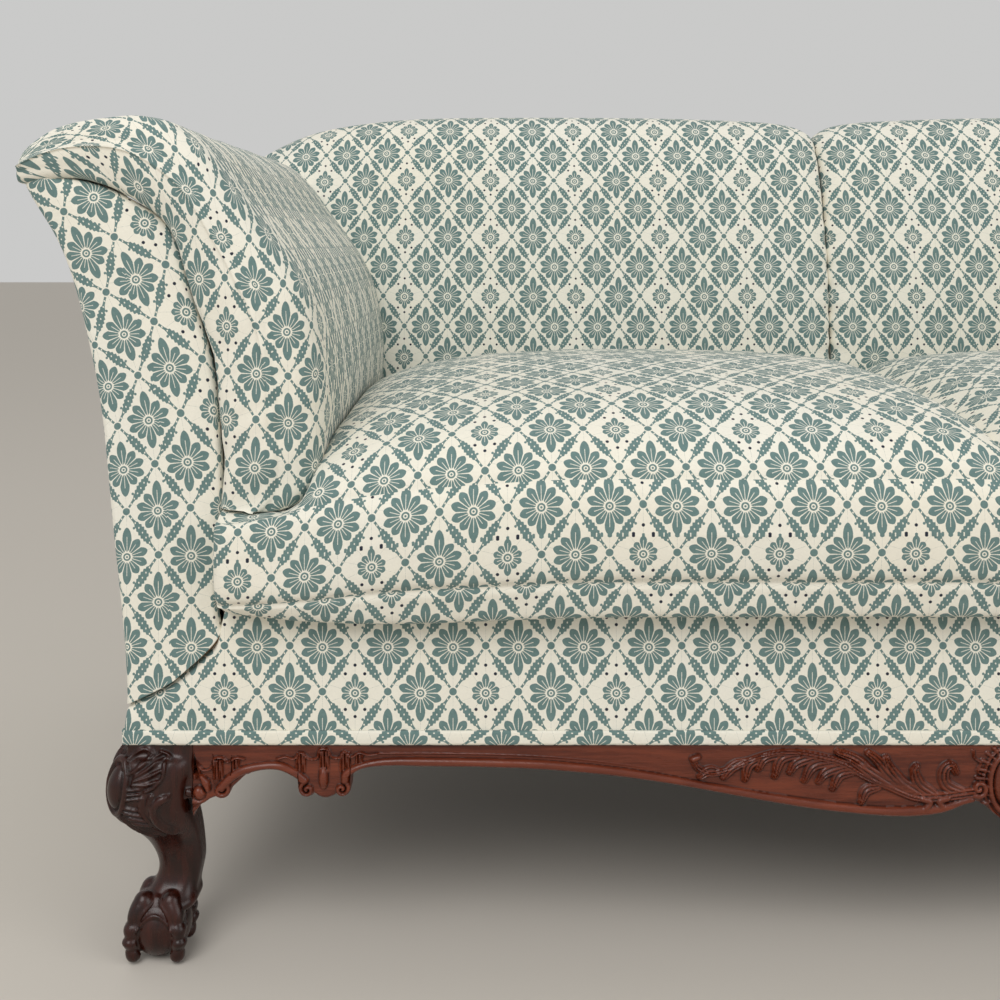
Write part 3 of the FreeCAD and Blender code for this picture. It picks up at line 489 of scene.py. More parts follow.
def section(node, axis, at):
    """The closed outline of a CAD node where a plane cuts it, as a list of points."""
    mesh = nodes[node].data
    mesh.calc_loop_triangles()
    place = np.array([v.co for v in mesh.vertices], float)
    corners = np.array([t.vertices for t in mesh.loop_triangles])
    height = place[:, axis] - at + 1e-7
    others = [k for k in range(3) if k != axis]
    links = {}
    for triangle in corners[np.ptp(np.sign(height[corners]), axis=1) > 0]:
        ends = []
        for a, b in zip(triangle, np.roll(triangle, -1)):
            if height[a] * height[b] < 0:
                share = height[a] / (height[a] - height[b])
                cut = place[a] + share * (place[b] - place[a])
                ends.append(tuple(np.round(cut[others], 6)))
        if ends[0] != ends[1]:
            links.setdefault(ends[0], []).append(ends[1])
            links.setdefault(ends[1], []).append(ends[0])
    start = min(links)
    line = [start]
    previous, here = None, start
    while True:
        onward = [p for p in links[here] if p != previous]
        previous, here = here, onward[0]
        if here == start:
            return np.array(line)
        line.append(here)


def between_corners(outline, start, end, through, count):
    """The stretch of a closed outline from the corner nearest start to that nearest end, taken
    the way round that passes nearer to a point."""
    nearest = [int(np.argmin(np.linalg.norm(outline - np.array(p), axis=1))) for p in (start, end)]
    turned = np.roll(outline, -nearest[0], axis=0)
    last = (nearest[1] - nearest[0]) % len(outline)
    ways = [turned[:last + 1], np.vstack([turned[last:], turned[:1]])[::-1]]
    gaps = [np.linalg.norm(way - np.array(through), axis=1).min() for way in ways]
    return even(ways[int(np.argmin(gaps))], count)


# Upholstery
def ring(first, second):
    """A closed loop from two lines that both run from the front to the back."""
    return np.concatenate([first[::-1], second])


def print_row(u, v):
    """One closed row of the print map, from u and v along a loop."""
    u, v = np.broadcast_arrays(u, v)
    return np.stack([np.append(u, u[-1]), np.append(v, v[-1])], axis=1)


def stood_at(x, loop):
    """A loop of (Y, Z) points at an X."""
    return np.column_stack([np.full(len(loop), x), loop])


def read_off(table, x, **ends):
    """The second column of a table at a place in its first."""
    return np.interp(x, table[:, 0], table[:, 1], **ends)


def travelled(line):
    """The distance along a line of points, from its first one."""
    return np.concatenate([[0.0], np.cumsum(np.linalg.norm(np.diff(line, axis=0), axis=1))])


ROUND_STEPS = np.radians(np.linspace(0, 90, 6)[1:])
# Where the arm pad's outline is cut, and how far behind the front face the front pieces' are
ARM_CUT = -0.2
FRONT_CUT = 0.006


def padded_side(edge, middle, y_face, y_back, radius, dome, across_count, depth_count):
    """From the middle of a pad's front face, over its rounded edge and back along its side."""
    inward = middle - edge
    width = np.linalg.norm(inward)
    inward = inward / max(width, 1e-6)
    radius = min(radius, 0.8 * width)
    share = np.linspace(0, 1, across_count)
    start = edge + inward * radius
    flat = middle + (start - middle) * share[:, None]
    line = [np.array([p[0], y_face - dome * (1 - s * s), p[1]]) for p, s in zip(flat, share)]
    for turn in ROUND_STEPS:
        p = edge + inward * radius * (1 - math.sin(turn))
        line.append(np.array([p[0], y_face + radius * (1 - math.cos(turn)), p[1]]))
    for y in np.linspace(y_face + radius, y_back, depth_count + 1)[1:]:
        line.append(np.array([edge[0], y, edge[1]]))
    return np.array(line)


def leaned(y, z):
    """The Y of a plane that leans back from its place at the base."""
    return y + lean * (z - base_top)


def arm_pad(cloth):
    """The thick inner arm pad, in one with the roll."""
    count = 78
    outline = section("arm_pad_right", 1, ARM_CUT)
    tip = outline[np.argmax(outline[:, 0])]
    brow = tip + np.array([-0.006, 0.020])
    foot_in = np.array([pad_low[0] + 0.022, pad_low[2]])
    foot_out = np.array([pad_low[0] + 0.097, pad_low[2]])
    inner = between_corners(outline, foot_in, brow, (pad_low[0], 0.56), count)
    groove = between_corners(outline, foot_out, tip, GROOVE, count)
    climbed = np.maximum(np.abs(np.diff(inner[:, 1])), 0.7 * np.diff(travelled(inner)))
    print_up = np.concatenate([[0.0], np.cumsum(climbed)]) + pad_low[2]
    rows, uv = [], []
    for i, (a, b) in enumerate(zip(inner, groove)):
        share = i / (count - 1)
        plump = float(smooth(0.86, 1.0, share))
        a = a + plump * np.array([0.0035, 0.003])
        b = b + plump * np.array([0.0035, -0.010])
        middle = (a + b) / 2
        y_face = pad_low[1] + 0.005 * share ** 8
        y_back = leaned(BACK_INNER, a[1]) + 0.045 * float(smooth(0.835, 0.86, a[0]))
        first = padded_side(a, middle, y_face, y_back, 0.040, 0.006, 8, 66)
        second = padded_side(b, middle, y_face, y_back, 0.012, 0.004, 8, 66)
        rows.append(ring(first, second))
        along = travelled(first)
        edge = np.linalg.norm(a - middle)
        lift = np.clip(along / max(edge, 1e-6), 0, 1)
        v_first = first[:, 2] + (print_up[i] - first[:, 2]) * lift
        if i == 0:
            side_start = middle[0] - edge
        eased_back = (middle[0] - edge - side_start) * smooth(0.0, 0.5, along - edge)
        u = ring(middle[0] - along - eased_back, middle[0] + travelled(second))
        uv.append(print_row(u, ring(v_first, second[:, 2])))
    return loft("arm_pad_right_cloth", rows, uv, cloth, cap_axes=(1, 2))


def arm_facing(cloth):
    """The padded front panel of the arm, which laps over the seat border's end. Its print leans
    from upright with the height."""
    outline = section("arm_facing_right", 1, front_y + FRONT_CUT)
    foot_out = np.array([half_base, facing_low[2]])
    foot_in = np.array([facing_low[0], border_high[2] - 0.012])
    top_in = np.array([facing_high[0] - 0.046, facing_high[2]])
    outer = between_corners(outline, foot_out, facing_high[[0, 2]], OUTER_SIDE, 64)
    inner = between_corners(outline, foot_in, top_in, GROOVE, 64)
    lap = between_corners(outline, foot_in, foot_out, LAP, 30)
    y_face = front_y - 0.001
    rows, uv = [], []
    middles = (inner + outer) / 2
    origin = middles[0].copy()
    for i, (a, b, middle) in enumerate(zip(inner, outer, middles)):
        turn = 0.49 * float(smooth(0.40, 0.74, middle[1]))
        axes = np.array([[math.cos(turn), -math.sin(turn)], [math.sin(turn), math.cos(turn)]])
        origin = origin + axes @ (middle - middles[max(i - 1, 0)])
        sides = [padded_side(p, middle, y_face, facing_high[1], 0.007, 0.003, 12, 2) for p in (a, b)]
        fade = (1 - i / (len(inner) - 1)) ** 6
        for side in sides:
            share = (side[:, 0] - a[0]) / (b[0] - a[0])
            straight = a[1] + (b[1] - a[1]) * share
            side[:, 2] += (read_off(lap, side[:, 0]) - straight) * fade
        loop = ring(*sides)
        rows.append(loop)
        flat = origin + (loop[:, [0, 2]] - middle) @ axes.T
        depth = np.maximum(loop[:, 1] - y_face, 0.0)
        flat[:, 0] += ring(-depth[:len(loop) // 2][::-1], depth[len(loop) // 2:])
        uv.append(print_row(*flat.T))
    return loft("arm_facing_right_cloth", rows, uv, cloth, cap_axes=(0, 1), cap_rows=2)


def front_border(cloth):
    """The front of the seat, upright, cut off at each end along the facing's lap."""
    outline = section("front_border", 1, front_y + FRONT_CUT)
    lap = between_corners(outline, (half_base, facing_low[2]), (facing_low[0], border_high[2]), LAP, 60)
    lap = lap[np.argsort(lap[:, 0])]
    bottom = border_low[2]
    rows, uv = [], []
    steps = np.concatenate([np.linspace(0, facing_low[0], 88),
                            np.linspace(facing_low[0], half_base, 18)[1:]])
    for x in np.concatenate([-steps[:0:-1], steps]):
        top = read_off(lap, abs(x)) if abs(x) > facing_low[0] else border_high[2]
        middle = np.array([x, (bottom + top) / 2])
        sides = [padded_side(np.array([x, z]), middle, front_y, border_high[1], r, 0.001, 8, 2)
                 for z, r in ((top, 0.010), (bottom, 0.002))]
        rows.append(ring(*sides))
        v = ring(middle[1] + travelled(sides[0]), middle[1] - travelled(sides[1]))
        uv.append(print_row(x, v))
    return loft("front_border_cloth", rows, uv, cloth, cap_axes=(1, 2), cap_rows=2)


def straight_print(piece):
    """Lays the print on the upright face of a piece straight across and up."""
    points, _ = arrays(piece)
    corners = np.empty(len(piece.data.loops), dtype=np.int32)
    piece.data.loops.foreach_get("vertex_index", corners)
    layer = piece.data.uv_layers["print"].data
    flat = np.empty(2 * len(corners))
    layer.foreach_get("uv", flat)
    flat = flat.reshape(-1, 2)
    at = points[corners]
    ahead = (at[:, 1] < front_y + 0.003)[:, None]
    flat = np.where(ahead, at[:, [0, 2]], flat)
    layer.foreach_set("uv", flat.ravel())


def outer_side(count):
    """The arm's outer line, seen from the front, from the base to under the roll."""
    outline = section("outside_arm_right", 1, 0.0)
    return between_corners(outline, (half_base, outside_low[2]), outside_high[[0, 2]], OUTER_SIDE, count)


def outside_arm(cloth):
    """The arm's outer panel, stretched from the base and tucked in under the roll."""
    outer = outer_side(60)
    tucked = outer[-1] + 0.0045 * (outer[-1] - outer[-2]) / np.linalg.norm(outer[-1] - outer[-2])
    outer = np.vstack([outer, tucked])
    up = travelled(outer) + outer[0, 1]
    rows, uv = [], []
    for i, (x, z) in enumerate(outer):
        y = np.linspace(front_y + 0.0100, leaned(BACK_SKIN - 0.0048, z), 70)
        sag = np.sin(np.pi * (y - y[0]) / (y[-1] - y[0])) * math.sin(math.pi * min(i, 59) / 59)
        skin = np.stack([x - 0.002 * sag, y, np.full(70, z)], axis=1)
        lining = np.stack([np.full(70, x - 0.0035), y, np.full(70, z)], axis=1)
        rows.append(ring(lining, skin))
        uv.append(print_row(ring(y, y), up[i]))
    return loft("outside_arm_right_cloth", rows, uv, cloth, cap_axes=(0, 1), cap_rows=2)


# The back's crest: shares of its half width and how far it drops below the top
CREST = [(0.0, 30.0), (0.025, 18.0), (0.07, 9.5), (0.15, 5.0), (0.3, 1.0), (0.56, 0.0), (0.74, 4.0),
         (0.875, 20.0), (0.96, 46.0), (1.0, 62.0)]
# The pad's face: shares of its rise and how far it is set back there, in millimetres
PAD_FACE = [(0.0, 4.0), (0.22, -4.0), (0.45, 3.0), (0.67, 22.0), (0.86, 52.0), (0.965, 84.0)]
# The outside back's shoulder: shares of its half width and drops below its top, in metres
SHOULDER = [(0.0, 0.0), (0.45, 0.0), (0.80, 0.021), (0.90, 0.034), (0.955, 0.052), (0.985, 0.076),
            (1.0, 0.096)]
crest_half = back_high[0]
crest_line = curve(CREST, 200)


def crest(x):
    """The height of the back's crest."""
    return crest_top - read_off(crest_line, np.abs(x) / crest_half) * MM


def arm_surface():
    """The arm pad's inner line: distance out and height."""
    outline = section("arm_pad_right", 1, ARM_CUT)
    tip = outline[np.argmax(outline[:, 0])]
    return between_corners(outline, (pad_low[0], 0.5), tip, (0.7, 0.668), 200)


def back_pad(cloth):
    """A crowned back pad that rolls over the top rail and ends behind the arm."""
    low = back_low[2]
    seat_y = back_low[1] + 0.004
    arm_line = arm_surface()
    rows, uv = [], []
    ends = np.array([0.0003, 0.0012, 0.004, 0.009, 0.016, 0.025])
    drawn_in = np.interp(ends, [0, 0.004, 0.025], [0.014, 0.0045, 0.0])
    steps = np.concatenate([ends, np.linspace(0.034, crest_half - 0.02, 92),
                            crest_half - np.array([0.012, 0.006, 0.0])])
    for x in steps:
        drawn = np.interp(x, ends, drawn_in, right=0.0) + 0.010 * smooth(0.93, 1.0, x / crest_half)
        top = crest(x) - 0.45 * drawn
        over_y = leaned(BACK_SKIN, top)
        face = [(seat_y + drawn + out * MM, low + share * (top - low)) for share, out in PAD_FACE]
        over = [(over_y - 0.0325, top), (over_y - 0.008, top - 0.011), (over_y - 0.0005, top - 0.031),
                (over_y - 0.002, top - 0.042)]
        line = curve(face + over, 400)
        foot = low if x < pad_low[0] + 0.03 else max(low, read_off(arm_line, x, left=0.0) - 0.002)
        shares = travelled(line)
        hidden = shares[int(np.argmax(line[:, 1] >= foot))]
        reached = np.maximum(np.linspace(0, shares[-1], 120), hidden)
        front = np.stack([np.interp(reached, shares, line[:, k]) for k in (0, 1)], axis=1)
        shelf_y = leaned(BACK_INNER - 0.0008, front[-1, 1])
        behind = even(np.array([front[0], (min(shelf_y, front[0, 0] + 0.06), front[0, 1]),
                                (shelf_y, front[-1, 1] - 0.001), front[-1]]), 120)
        rows.append(stood_at(x, ring(front, behind)))
        uv.append(print_row(x, ring(reached, reached) + low))
    return loft("back_pad_right_cloth", rows, uv, cloth, cap_axes=(1, 2))


# The loose cushions: shares of their width, how plump they are there, and their crown
PLUMP = np.array([(0.0, 0.93), (0.07, 1.0), (0.24, 1.0), (0.5, 1.0), (0.6, 0.94), (0.74, 0.71),
                  (0.82, 0.47), (0.9, 0.18), (1.0, 0.0)])
CROWN = np.array([(0.0, 0.80), (0.07, 0.92), (0.24, 0.975), (0.5, 0.985), (0.72, 0.93),
                  (0.88, 0.76), (1.0, 0.52)])
# How far the overhanging front sags below the deck, in millimetres
SAG = np.array([(0.0, 7.0), (0.5, 7.5), (0.6, 9.5), (0.74, 15.0), (0.82, 16.0), (0.9, 14.0),
                (1.0, 5.0)])
# The line the cushion's corner keeps under the arm pad's rounded foot: distance out, height
FOOT_LINE = np.array([(0.630, 0.620), (0.642, 0.536), (0.650, 0.510), (0.656, 0.489),
                      (0.668, 0.470), (0.702, 0.449), (0.755, 0.4405), (0.790, 0.4385)])
SEAM_PINCH = 0.0050
plump_line = curve(PLUMP, 200)
crown_line = curve(CROWN, 200)


def cushion_lines(x, drawn):
    """The cushion's section at a distance from the middle: the upper and the lower line, both
    from the front to the back."""
    share = (x - cover_low[0]) / (cover_high[0] - cover_low[0])
    plump, crown, sag = (read_off(table, share) for table in (plump_line, crown_line, SAG))
    sag = sag * MM
    bottom = cover_low[2] + drawn
    lower = cover_low[2] + 0.004 + 0.025 * plump
    upper = lower + 0.086 + 0.010 * plump
    rise = cover_low[2] + 0.207 * crown - drawn - upper
    front = cover_low[1] + 0.007 * (1 - plump) + drawn
    back = cover_high[1] - 0.008 * (1 - plump) - drawn
    middle = (lower + upper) / 2
    top_seam = (front + 0.006 + SEAM_PINCH, upper)
    low_seam = (front + 0.004 + SEAM_PINCH, lower)
    border_up = [(front, middle), (front + 0.0008, upper - 0.014), (front + 0.0045, upper - 0.003), top_seam]
    over = [top_seam, (front + 0.0075, upper + 0.004), (front + 0.020, upper + 0.26 * rise),
            (front + 0.054, upper + 0.54 * rise), (front + 0.140, upper + 0.85 * rise),
            ((front + back) / 2, upper + rise), (back - 0.110, upper + 0.86 * rise),
            (back - 0.030, upper + 0.4 * rise), (back - 0.006, upper + 0.004)]
    border_down = [(front, middle), (front + 0.0006, lower + 0.014), (front + 0.003, lower + 0.003), low_seam]
    under = [low_seam, (front + 0.0055, lower - 0.004), (front + 0.007, lower - 0.3 * (lower - bottom + sag)),
             (front + 0.014, bottom - 0.75 * sag), (front + 0.024, bottom - sag),
             (front + 0.036, bottom - 0.3 * sag), (front + 0.046, bottom)]
    base = [(front + 0.046, bottom), (back - 0.024, bottom)]
    rear_up = [(back - 0.006, upper + 0.004), (back, middle)]
    rear_down = [(back - 0.024, bottom), (back - 0.004, lower), (back, middle)]
    upper_line = np.vstack([even(np.array(border_up), 8)[:-1], curve(over, 72)[:-1],
                            even(np.array(rear_up), 7)])
    lower_line = np.vstack([even(np.array(border_down), 8)[:-1], curve(under, 13)[:-1],
                            even(np.array(base), 60)[:-1], even(np.array(rear_down), 7)])
    return upper_line, lower_line


def pressed(points):
    """Keeps the cushion under the arm pad's foot and beside its inner face."""
    free, foot = 0.62, pad_low[2] - 0.0015
    wall = np.interp(points[:, 0] - pad_low[0], [-0.004, 0.002, 0.010, 0.030],
                     [free, foot + 0.055, foot + 0.012, foot])
    beyond = smooth(pad_low[1] - 0.016, pad_low[1] + 0.004, points[:, 1])
    limit = wall * beyond + read_off(FOOT_LINE, points[:, 0]) * (1 - beyond)
    points[:, 2] = np.minimum(points[:, 2], limit)
    return points


CUSHION_LOOP = 2 * 85
CUSHION_SEAMS = [CUSHION_LOOP // 2 - 8, CUSHION_LOOP // 2 + 7]


def seat_cushion(cloth):
    """A loose boxed cushion: a crowned top, a front border between two seams, and its underside."""
    x0, x1 = cover_low[0], cover_high[0]
    near = np.array([0.0, 0.0015, 0.005, 0.011, 0.019])
    drawn_near = np.array([0.0085, 0.0050, 0.0020, 0.0004, 0.0])
    steps = np.concatenate([x0 + near, np.linspace(x0 + 0.028, x1 - 0.028, 82), (x1 - near)[::-1]])
    drawn = np.concatenate([drawn_near, np.zeros(82), drawn_near[::-1]])
    rows, uv = [], []
    for x, inset in zip(steps, drawn):
        upper, lower = cushion_lines(x, inset)
        rows.append(pressed(stood_at(x, ring(upper, lower))))
        uv.append(print_row(x, ring(travelled(upper), -travelled(lower)) + 0.43))
    jumps = dict(zip(CUSHION_SEAMS, np.array([(0.021, 0.037), (0.018, 0.031)])))
    return loft("seat_cushion_right_cloth", rows, uv, cloth, jumps, cap_axes=(1, 2))


def outside_back(cloth):
    """The plain panel across the whole back, which follows its lean."""
    outer = outer_side(80)
    reach = panel_high[0]
    shoulder = curve([(out * reach, panel_high[2] - drop) for out, drop in SHOULDER], 200)
    across = np.linspace(-1, 1, 121)
    top = read_off(shoulder, np.abs(across) * reach)
    under_crest = crest(across * reach) - 0.0405
    top = top + (under_crest - top) * (1 - smooth(0.74, 0.86, np.abs(across)))
    rows, uv = [], []
    for share in np.linspace(0, 1, 72):
        z = panel_low[2] + (top - panel_low[2]) * share
        x = across * np.interp(z, outer[:, 1], outer[:, 0], right=reach)
        sag = 0.0015 * np.sin(np.pi * share) * (1 - across ** 4)
        skin = np.stack([x, leaned(BACK_SKIN - 0.0002, z) - sag, z], axis=1)
        lining = np.stack([x, leaned(BACK_SKIN - 0.0038, z), z], axis=1)
        rows.append(ring(lining, skin))
        uv.append(print_row(ring(x, x), ring(z, z)))
    return loft("outside_back_cloth", rows, uv, cloth, cap_axes=(0, 1), cap_rows=2)


def band(node, cloth):
    """A flat double-stitched band of the same cloth, cut the other way of the print."""
    low, high = node_box(node)
    along = int(np.argmax((high - low)[:2]))
    z = np.linspace(low[2], high[2], 7)
    thick = 0.0025
    if along == 1:
        near, far = np.full(7, low[0]), np.full(7, high[0])
    elif "rear" in node:
        near = leaned(BACK_SKIN, z)
        far = near + thick
    else:
        near = np.full(7, high[1])
        far = near - thick
    outward = -1 if node == "front_band" else 1
    far = far + outward * 0.0006 * np.sin(np.linspace(0, np.pi, 7))
    rows, uv = [], []
    for at in np.linspace(low[along], high[along], 140):
        lines = []
        for side in (near, far):
            line = np.stack([side, side, z], axis=1)
            line[:, along] = at
            lines.append(line)
        rows.append(ring(*lines))
        uv.append(print_row(ring(z, z) + 0.01, at))
    return loft(node + "_cloth", rows, uv, cloth, cap_axes=(0, 2), cap_rows=2)


# Carving: relief drawn as strokes on a flat map, in millimetres
def stroke_field(flat, strokes):
    """The height of a carved surface at points of a map, from strokes of
    (points, widths, heights, ribs)."""
    height = np.zeros(len(flat))
    for points, widths, heights, ribs in strokes:
        rough = np.array(points, float)
        count = 12 + int(travelled(rough)[-1] / 1.2)
        line = curve(rough, count) if len(points) > 2 else even(rough, count)
        reach = max(widths)
        low, high = line.min(0) - reach, line.max(0) + reach
        near = np.flatnonzero(np.all((flat >= low) & (flat <= high), axis=1))
        if not len(near):
            continue
        gaps = flat[near][:, None] - line[None]
        far = np.linalg.norm(gaps, axis=2)
        nearest = far.argmin(axis=1)
        t = nearest / (len(line) - 1)
        tangent = np.gradient(line, axis=0)
        tangent /= np.maximum(np.linalg.norm(tangent, axis=1), 1e-9)[:, None]
        gap = gaps[np.arange(len(near)), nearest]
        side = gap[:, 0] * tangent[nearest, 1] - gap[:, 1] * tangent[nearest, 0]
        places = np.linspace(0, 1, len(widths))
        width = np.interp(t, places, widths)
        share = far[np.arange(len(near)), nearest] / np.maximum(width, 1e-6)
        rise = np.interp(t, np.linspace(0, 1, len(heights)), heights)
        rise = rise * np.sqrt(np.clip(1 - share ** 2, 0, 1))
        if ribs:
            rise *= 0.76 + 0.24 * np.cos(2 * math.pi * ribs * side / np.maximum(width, 1e-6))
        here = height[near]
        height[near] = np.where(rise < 0, np.minimum(here, rise), np.maximum(here, rise))
    return height


def spiral(centre, radius, start, turns, width=2.6, rise=3.6):
    """A volute: a stroke that winds in to its eye. Turns are negative for the other hand."""
    angle = math.radians(start) + np.linspace(0, 2 * math.pi * turns, 26)
    size = radius * np.linspace(1, 0.12, 26)
    points = np.stack([centre[0] + size * np.cos(angle), centre[1] + size * np.sin(angle)], axis=1)
    return points, [width, 0.72 * width], [rise, 1.25 * rise], 0


def oval(flat, centre, half_width, half_height, rise):
    """A domed oval boss."""
    across = (flat[:, 0] - centre[0]) / half_width
    down = (flat[:, 1] - centre[1]) / half_height
    return rise * np.sqrt(np.clip(1 - across ** 2 - down ** 2, 0, 1))


def oval_ring(centre, half_width, half_height, width, rise):
    turn = np.linspace(0, 2 * math.pi, 40)
    points = np.stack([centre[0] + half_width * np.cos(turn),
                       centre[1] + half_height * np.sin(turn)], axis=1)
    return points, [width], [rise], 0


# The front apron's carving: distances from the sofa's middle and drops from the apron's top
BEAD_LEFT = [(771, 42), (760, 31), (745, 24), (717, 21), (701, 27), (690, 35)]
BEAD_RIGHT = [(650, 35), (648, 28), (632, 21), (607, 17), (566, 17), (478, 19), (420, 23), (355, 31),
              (290, 43), (226, 53.5), (177, 60.5), (128, 65.5), (95, 65.5), (63, 62), (37, 55)]
STEM = [(35, 47), (65, 51), (90, 51), (116, 41), (141, 30), (160, 19), (184, 12), (209, 8),
        (231, 9), (252, 15), (271, 23), (290, 28), (304, 23), (309, 14)]
LOWER_LEAVES = [
    [(284, 26), (294, 26), (302, 31)], [(256, 16), (270, 22), (279, 32)],
    [(239, 11), (254, 20), (258, 34)], [(203, 9), (222, 14), (229, 31)],
    [(171, 17), (191, 21), (200, 35)], [(150, 27), (165, 30), (172, 43)],
    [(127, 42), (139, 45), (144, 56)], [(216, 8), (238, 13), (245, 24)],
    [(186, 11), (207, 18), (214, 27)], [(158, 21), (178, 27), (186, 36)],
]
UPPER_LEAVES = [
    [(97, 50), (129, 32), (150, 14), (167, 7)], [(88, 51), (112, 33), (129, 14), (137, 8)],
    [(80, 52), (103, 38), (116, 22), (120, 13)], [(67, 52), (86, 40), (92, 26), (90, 21)],
    [(38, 48), (57, 42), (63, 34), (62, 24), (56, 20), (51, 27)],
    [(105, 46), (130, 30), (146, 20), (154, 15)],
]
# The wavy rim of the ruffle over the pendant, and the one over the bracket
PENDANT_RIM = [(716, 14), (708, 12), (700, 14), (693, 8), (685, 14), (677, 13), (675, 5), (667, 5),
               (663, 12), (655, 13), (651, 7), (644, 12), (636, 8), (627, 10), (618, 9)]
BRACKET_RIM = [(808, 30), (804, 20), (795, 19), (789, 25), (781, 23), (778, 14), (770, 13),
               (765, 17), (757, 13), (749, 14)]


def ruffle(rim, peaks, foot):
    """A wavy rim with narrow ribs under each of its peaks."""
    strokes = [(rim, [1.2], [3.4], 0)]
    for middle, half_width, top in peaks:
        for x in np.arange(middle - half_width, middle + half_width + 0.1, 2.6):
            strokes.append(([(x, top), (x + 0.5, foot)], [1.15, 0.9], [3.2, 1.4], 0))
    return strokes


def apron_strokes():
    """Strokes on the map of |X| and drop: the bead, volutes, pendant, leaves and cartouche."""
    strokes = [(BEAD_LEFT, [4.4], [5.0], 0), (BEAD_RIGHT, [4.0, 4.8, 5.0], [5.0], 0)]
    strokes.append(([(618, 9), (560, 9), (478, 11), (420, 15), (355, 23)], [1.1, 0.6], [1.2, 0.4], 0))
    strokes += [spiral((771, 44), 8.0, 250, -1.25), spiral((687, 44), 7.5, -70, 1.25),
                spiral((653, 43.5), 7.5, 250, -1.25), spiral((29, 42.5), 8.5, 60, 1.25, 3.2, 4.6)]
    strokes.append((STEM, [5.5, 5.0, 4.6, 4.2, 3.8, 3.4, 3.6], [4.4, 4.0, 4.6], 1.5))
    for leaf in LOWER_LEAVES:
        strokes.append((leaf, [3.6, 5.8, 5.6, 3.4], [2.8, 4.0, 5.6], 1.5))
    for leaf in UPPER_LEAVES:
        strokes.append((leaf, [3.4, 6.4, 6.4, 3.6], [3.2, 4.2, 6.0], 1.5))
    strokes.append(([(309, 14), (304, 12)], [3.2], [5.4], 0))
    strokes += [([(81, 62), (77, 56), (84, 53)], [3.6], [5.6], 0),
                ([(64, 61), (68, 55), (60, 52)], [3.6], [5.6], 0)]
    strokes += ruffle(PENDANT_RIM, [(693, 4, 10), (671, 5, 7), (650, 4, 9), (636, 3, 10)], 27)
    strokes += ruffle(BRACKET_RIM, [(798, 6, 22), (774, 4, 16), (757, 3, 15)], 34)
    strokes += [([(790, 31), (786, 38), (784, 44)], [2.2, 4.4, 2.4], [5.4], 0),
                ([(793, 46), (792, 48)], [5.8], [6.4], 0),
                ([(799, 56), (790, 56), (782, 60)], [4.4, 2.6], [3.4], 1.0),
                ([(797, 64), (791, 62)], [3.4], [3.0], 1.0)]
    strokes += [oval_ring((0, 38), 18.0, 29.0, 2.9, 5.2), oval_ring((0, 38), 24.0, 35.0, 1.3, 3.0)]
    strokes.append(([(34, 6), (33, 13), (27, 18), (30, 26), (24, 30)], [1.2], [3.4], 0))
    for k in range(9):
        turn = math.radians(14 * k - 78)
        inner = (20 * math.cos(turn), 38 + 31 * math.sin(turn))
        outer = (31 * math.cos(turn), 38 + 38 * math.sin(turn))
        strokes.append(([inner, outer], [1.4, 2.2], [2.4, 3.2], 0))
    strokes.append(([(8, 74), (20, 73), (30, 69), (40, 64)], [4.2, 3.0], [3.8], 1.0))
    return strokes


def apron_relief(x, z):
    """How far the show-wood stands proud of the apron's ground, in millimetres."""
    flat = np.stack([np.abs(x) / MM, (base_top - z) / MM], axis=1)
    height = stroke_field(flat, apron_strokes())
    height = np.maximum(height, oval(flat, (0, 38), 14.5, 25.0, 7.0))
    height = np.maximum(height, oval(flat, (671, 33), 4.8, 11.0, 6.0))
    height += 0.12 * value_noise(np.stack([x, x * 0, z], axis=1), 0.012, 5)
    return height


def tube(name, rows, material, relief):
    """A closed skin over loops, with flat ends, whose relief is kept for its material."""
    rows = np.asarray(rows, float)
    index, _, _, faces = strips(*rows.shape[:2])
    faces += [tuple(index[0, ::-1].tolist()), tuple(index[-1].tolist())]
    piece = build(name, rows.reshape(-1, 3), faces, None, material)
    keep_relief(piece, np.asarray(relief, float).ravel())
    piece.data.set_sharp_from_angle(angle=math.radians(60))
    return piece


def keep_relief(piece, relief):
    layer = piece.data.attributes.new("relief", "FLOAT", "POINT")
    layer.data.foreach_set("value", relief.astype(np.float32))


# The volutes that hang below the rail: distance from the middle, drop and radius
HANGING = [(687, 44, 8.6), (653, 43.5, 8.6), (771, 44, 9.0)]
# How far behind the front plane the apron's ground lies, in metres
GROUND_BACK = 0.0006


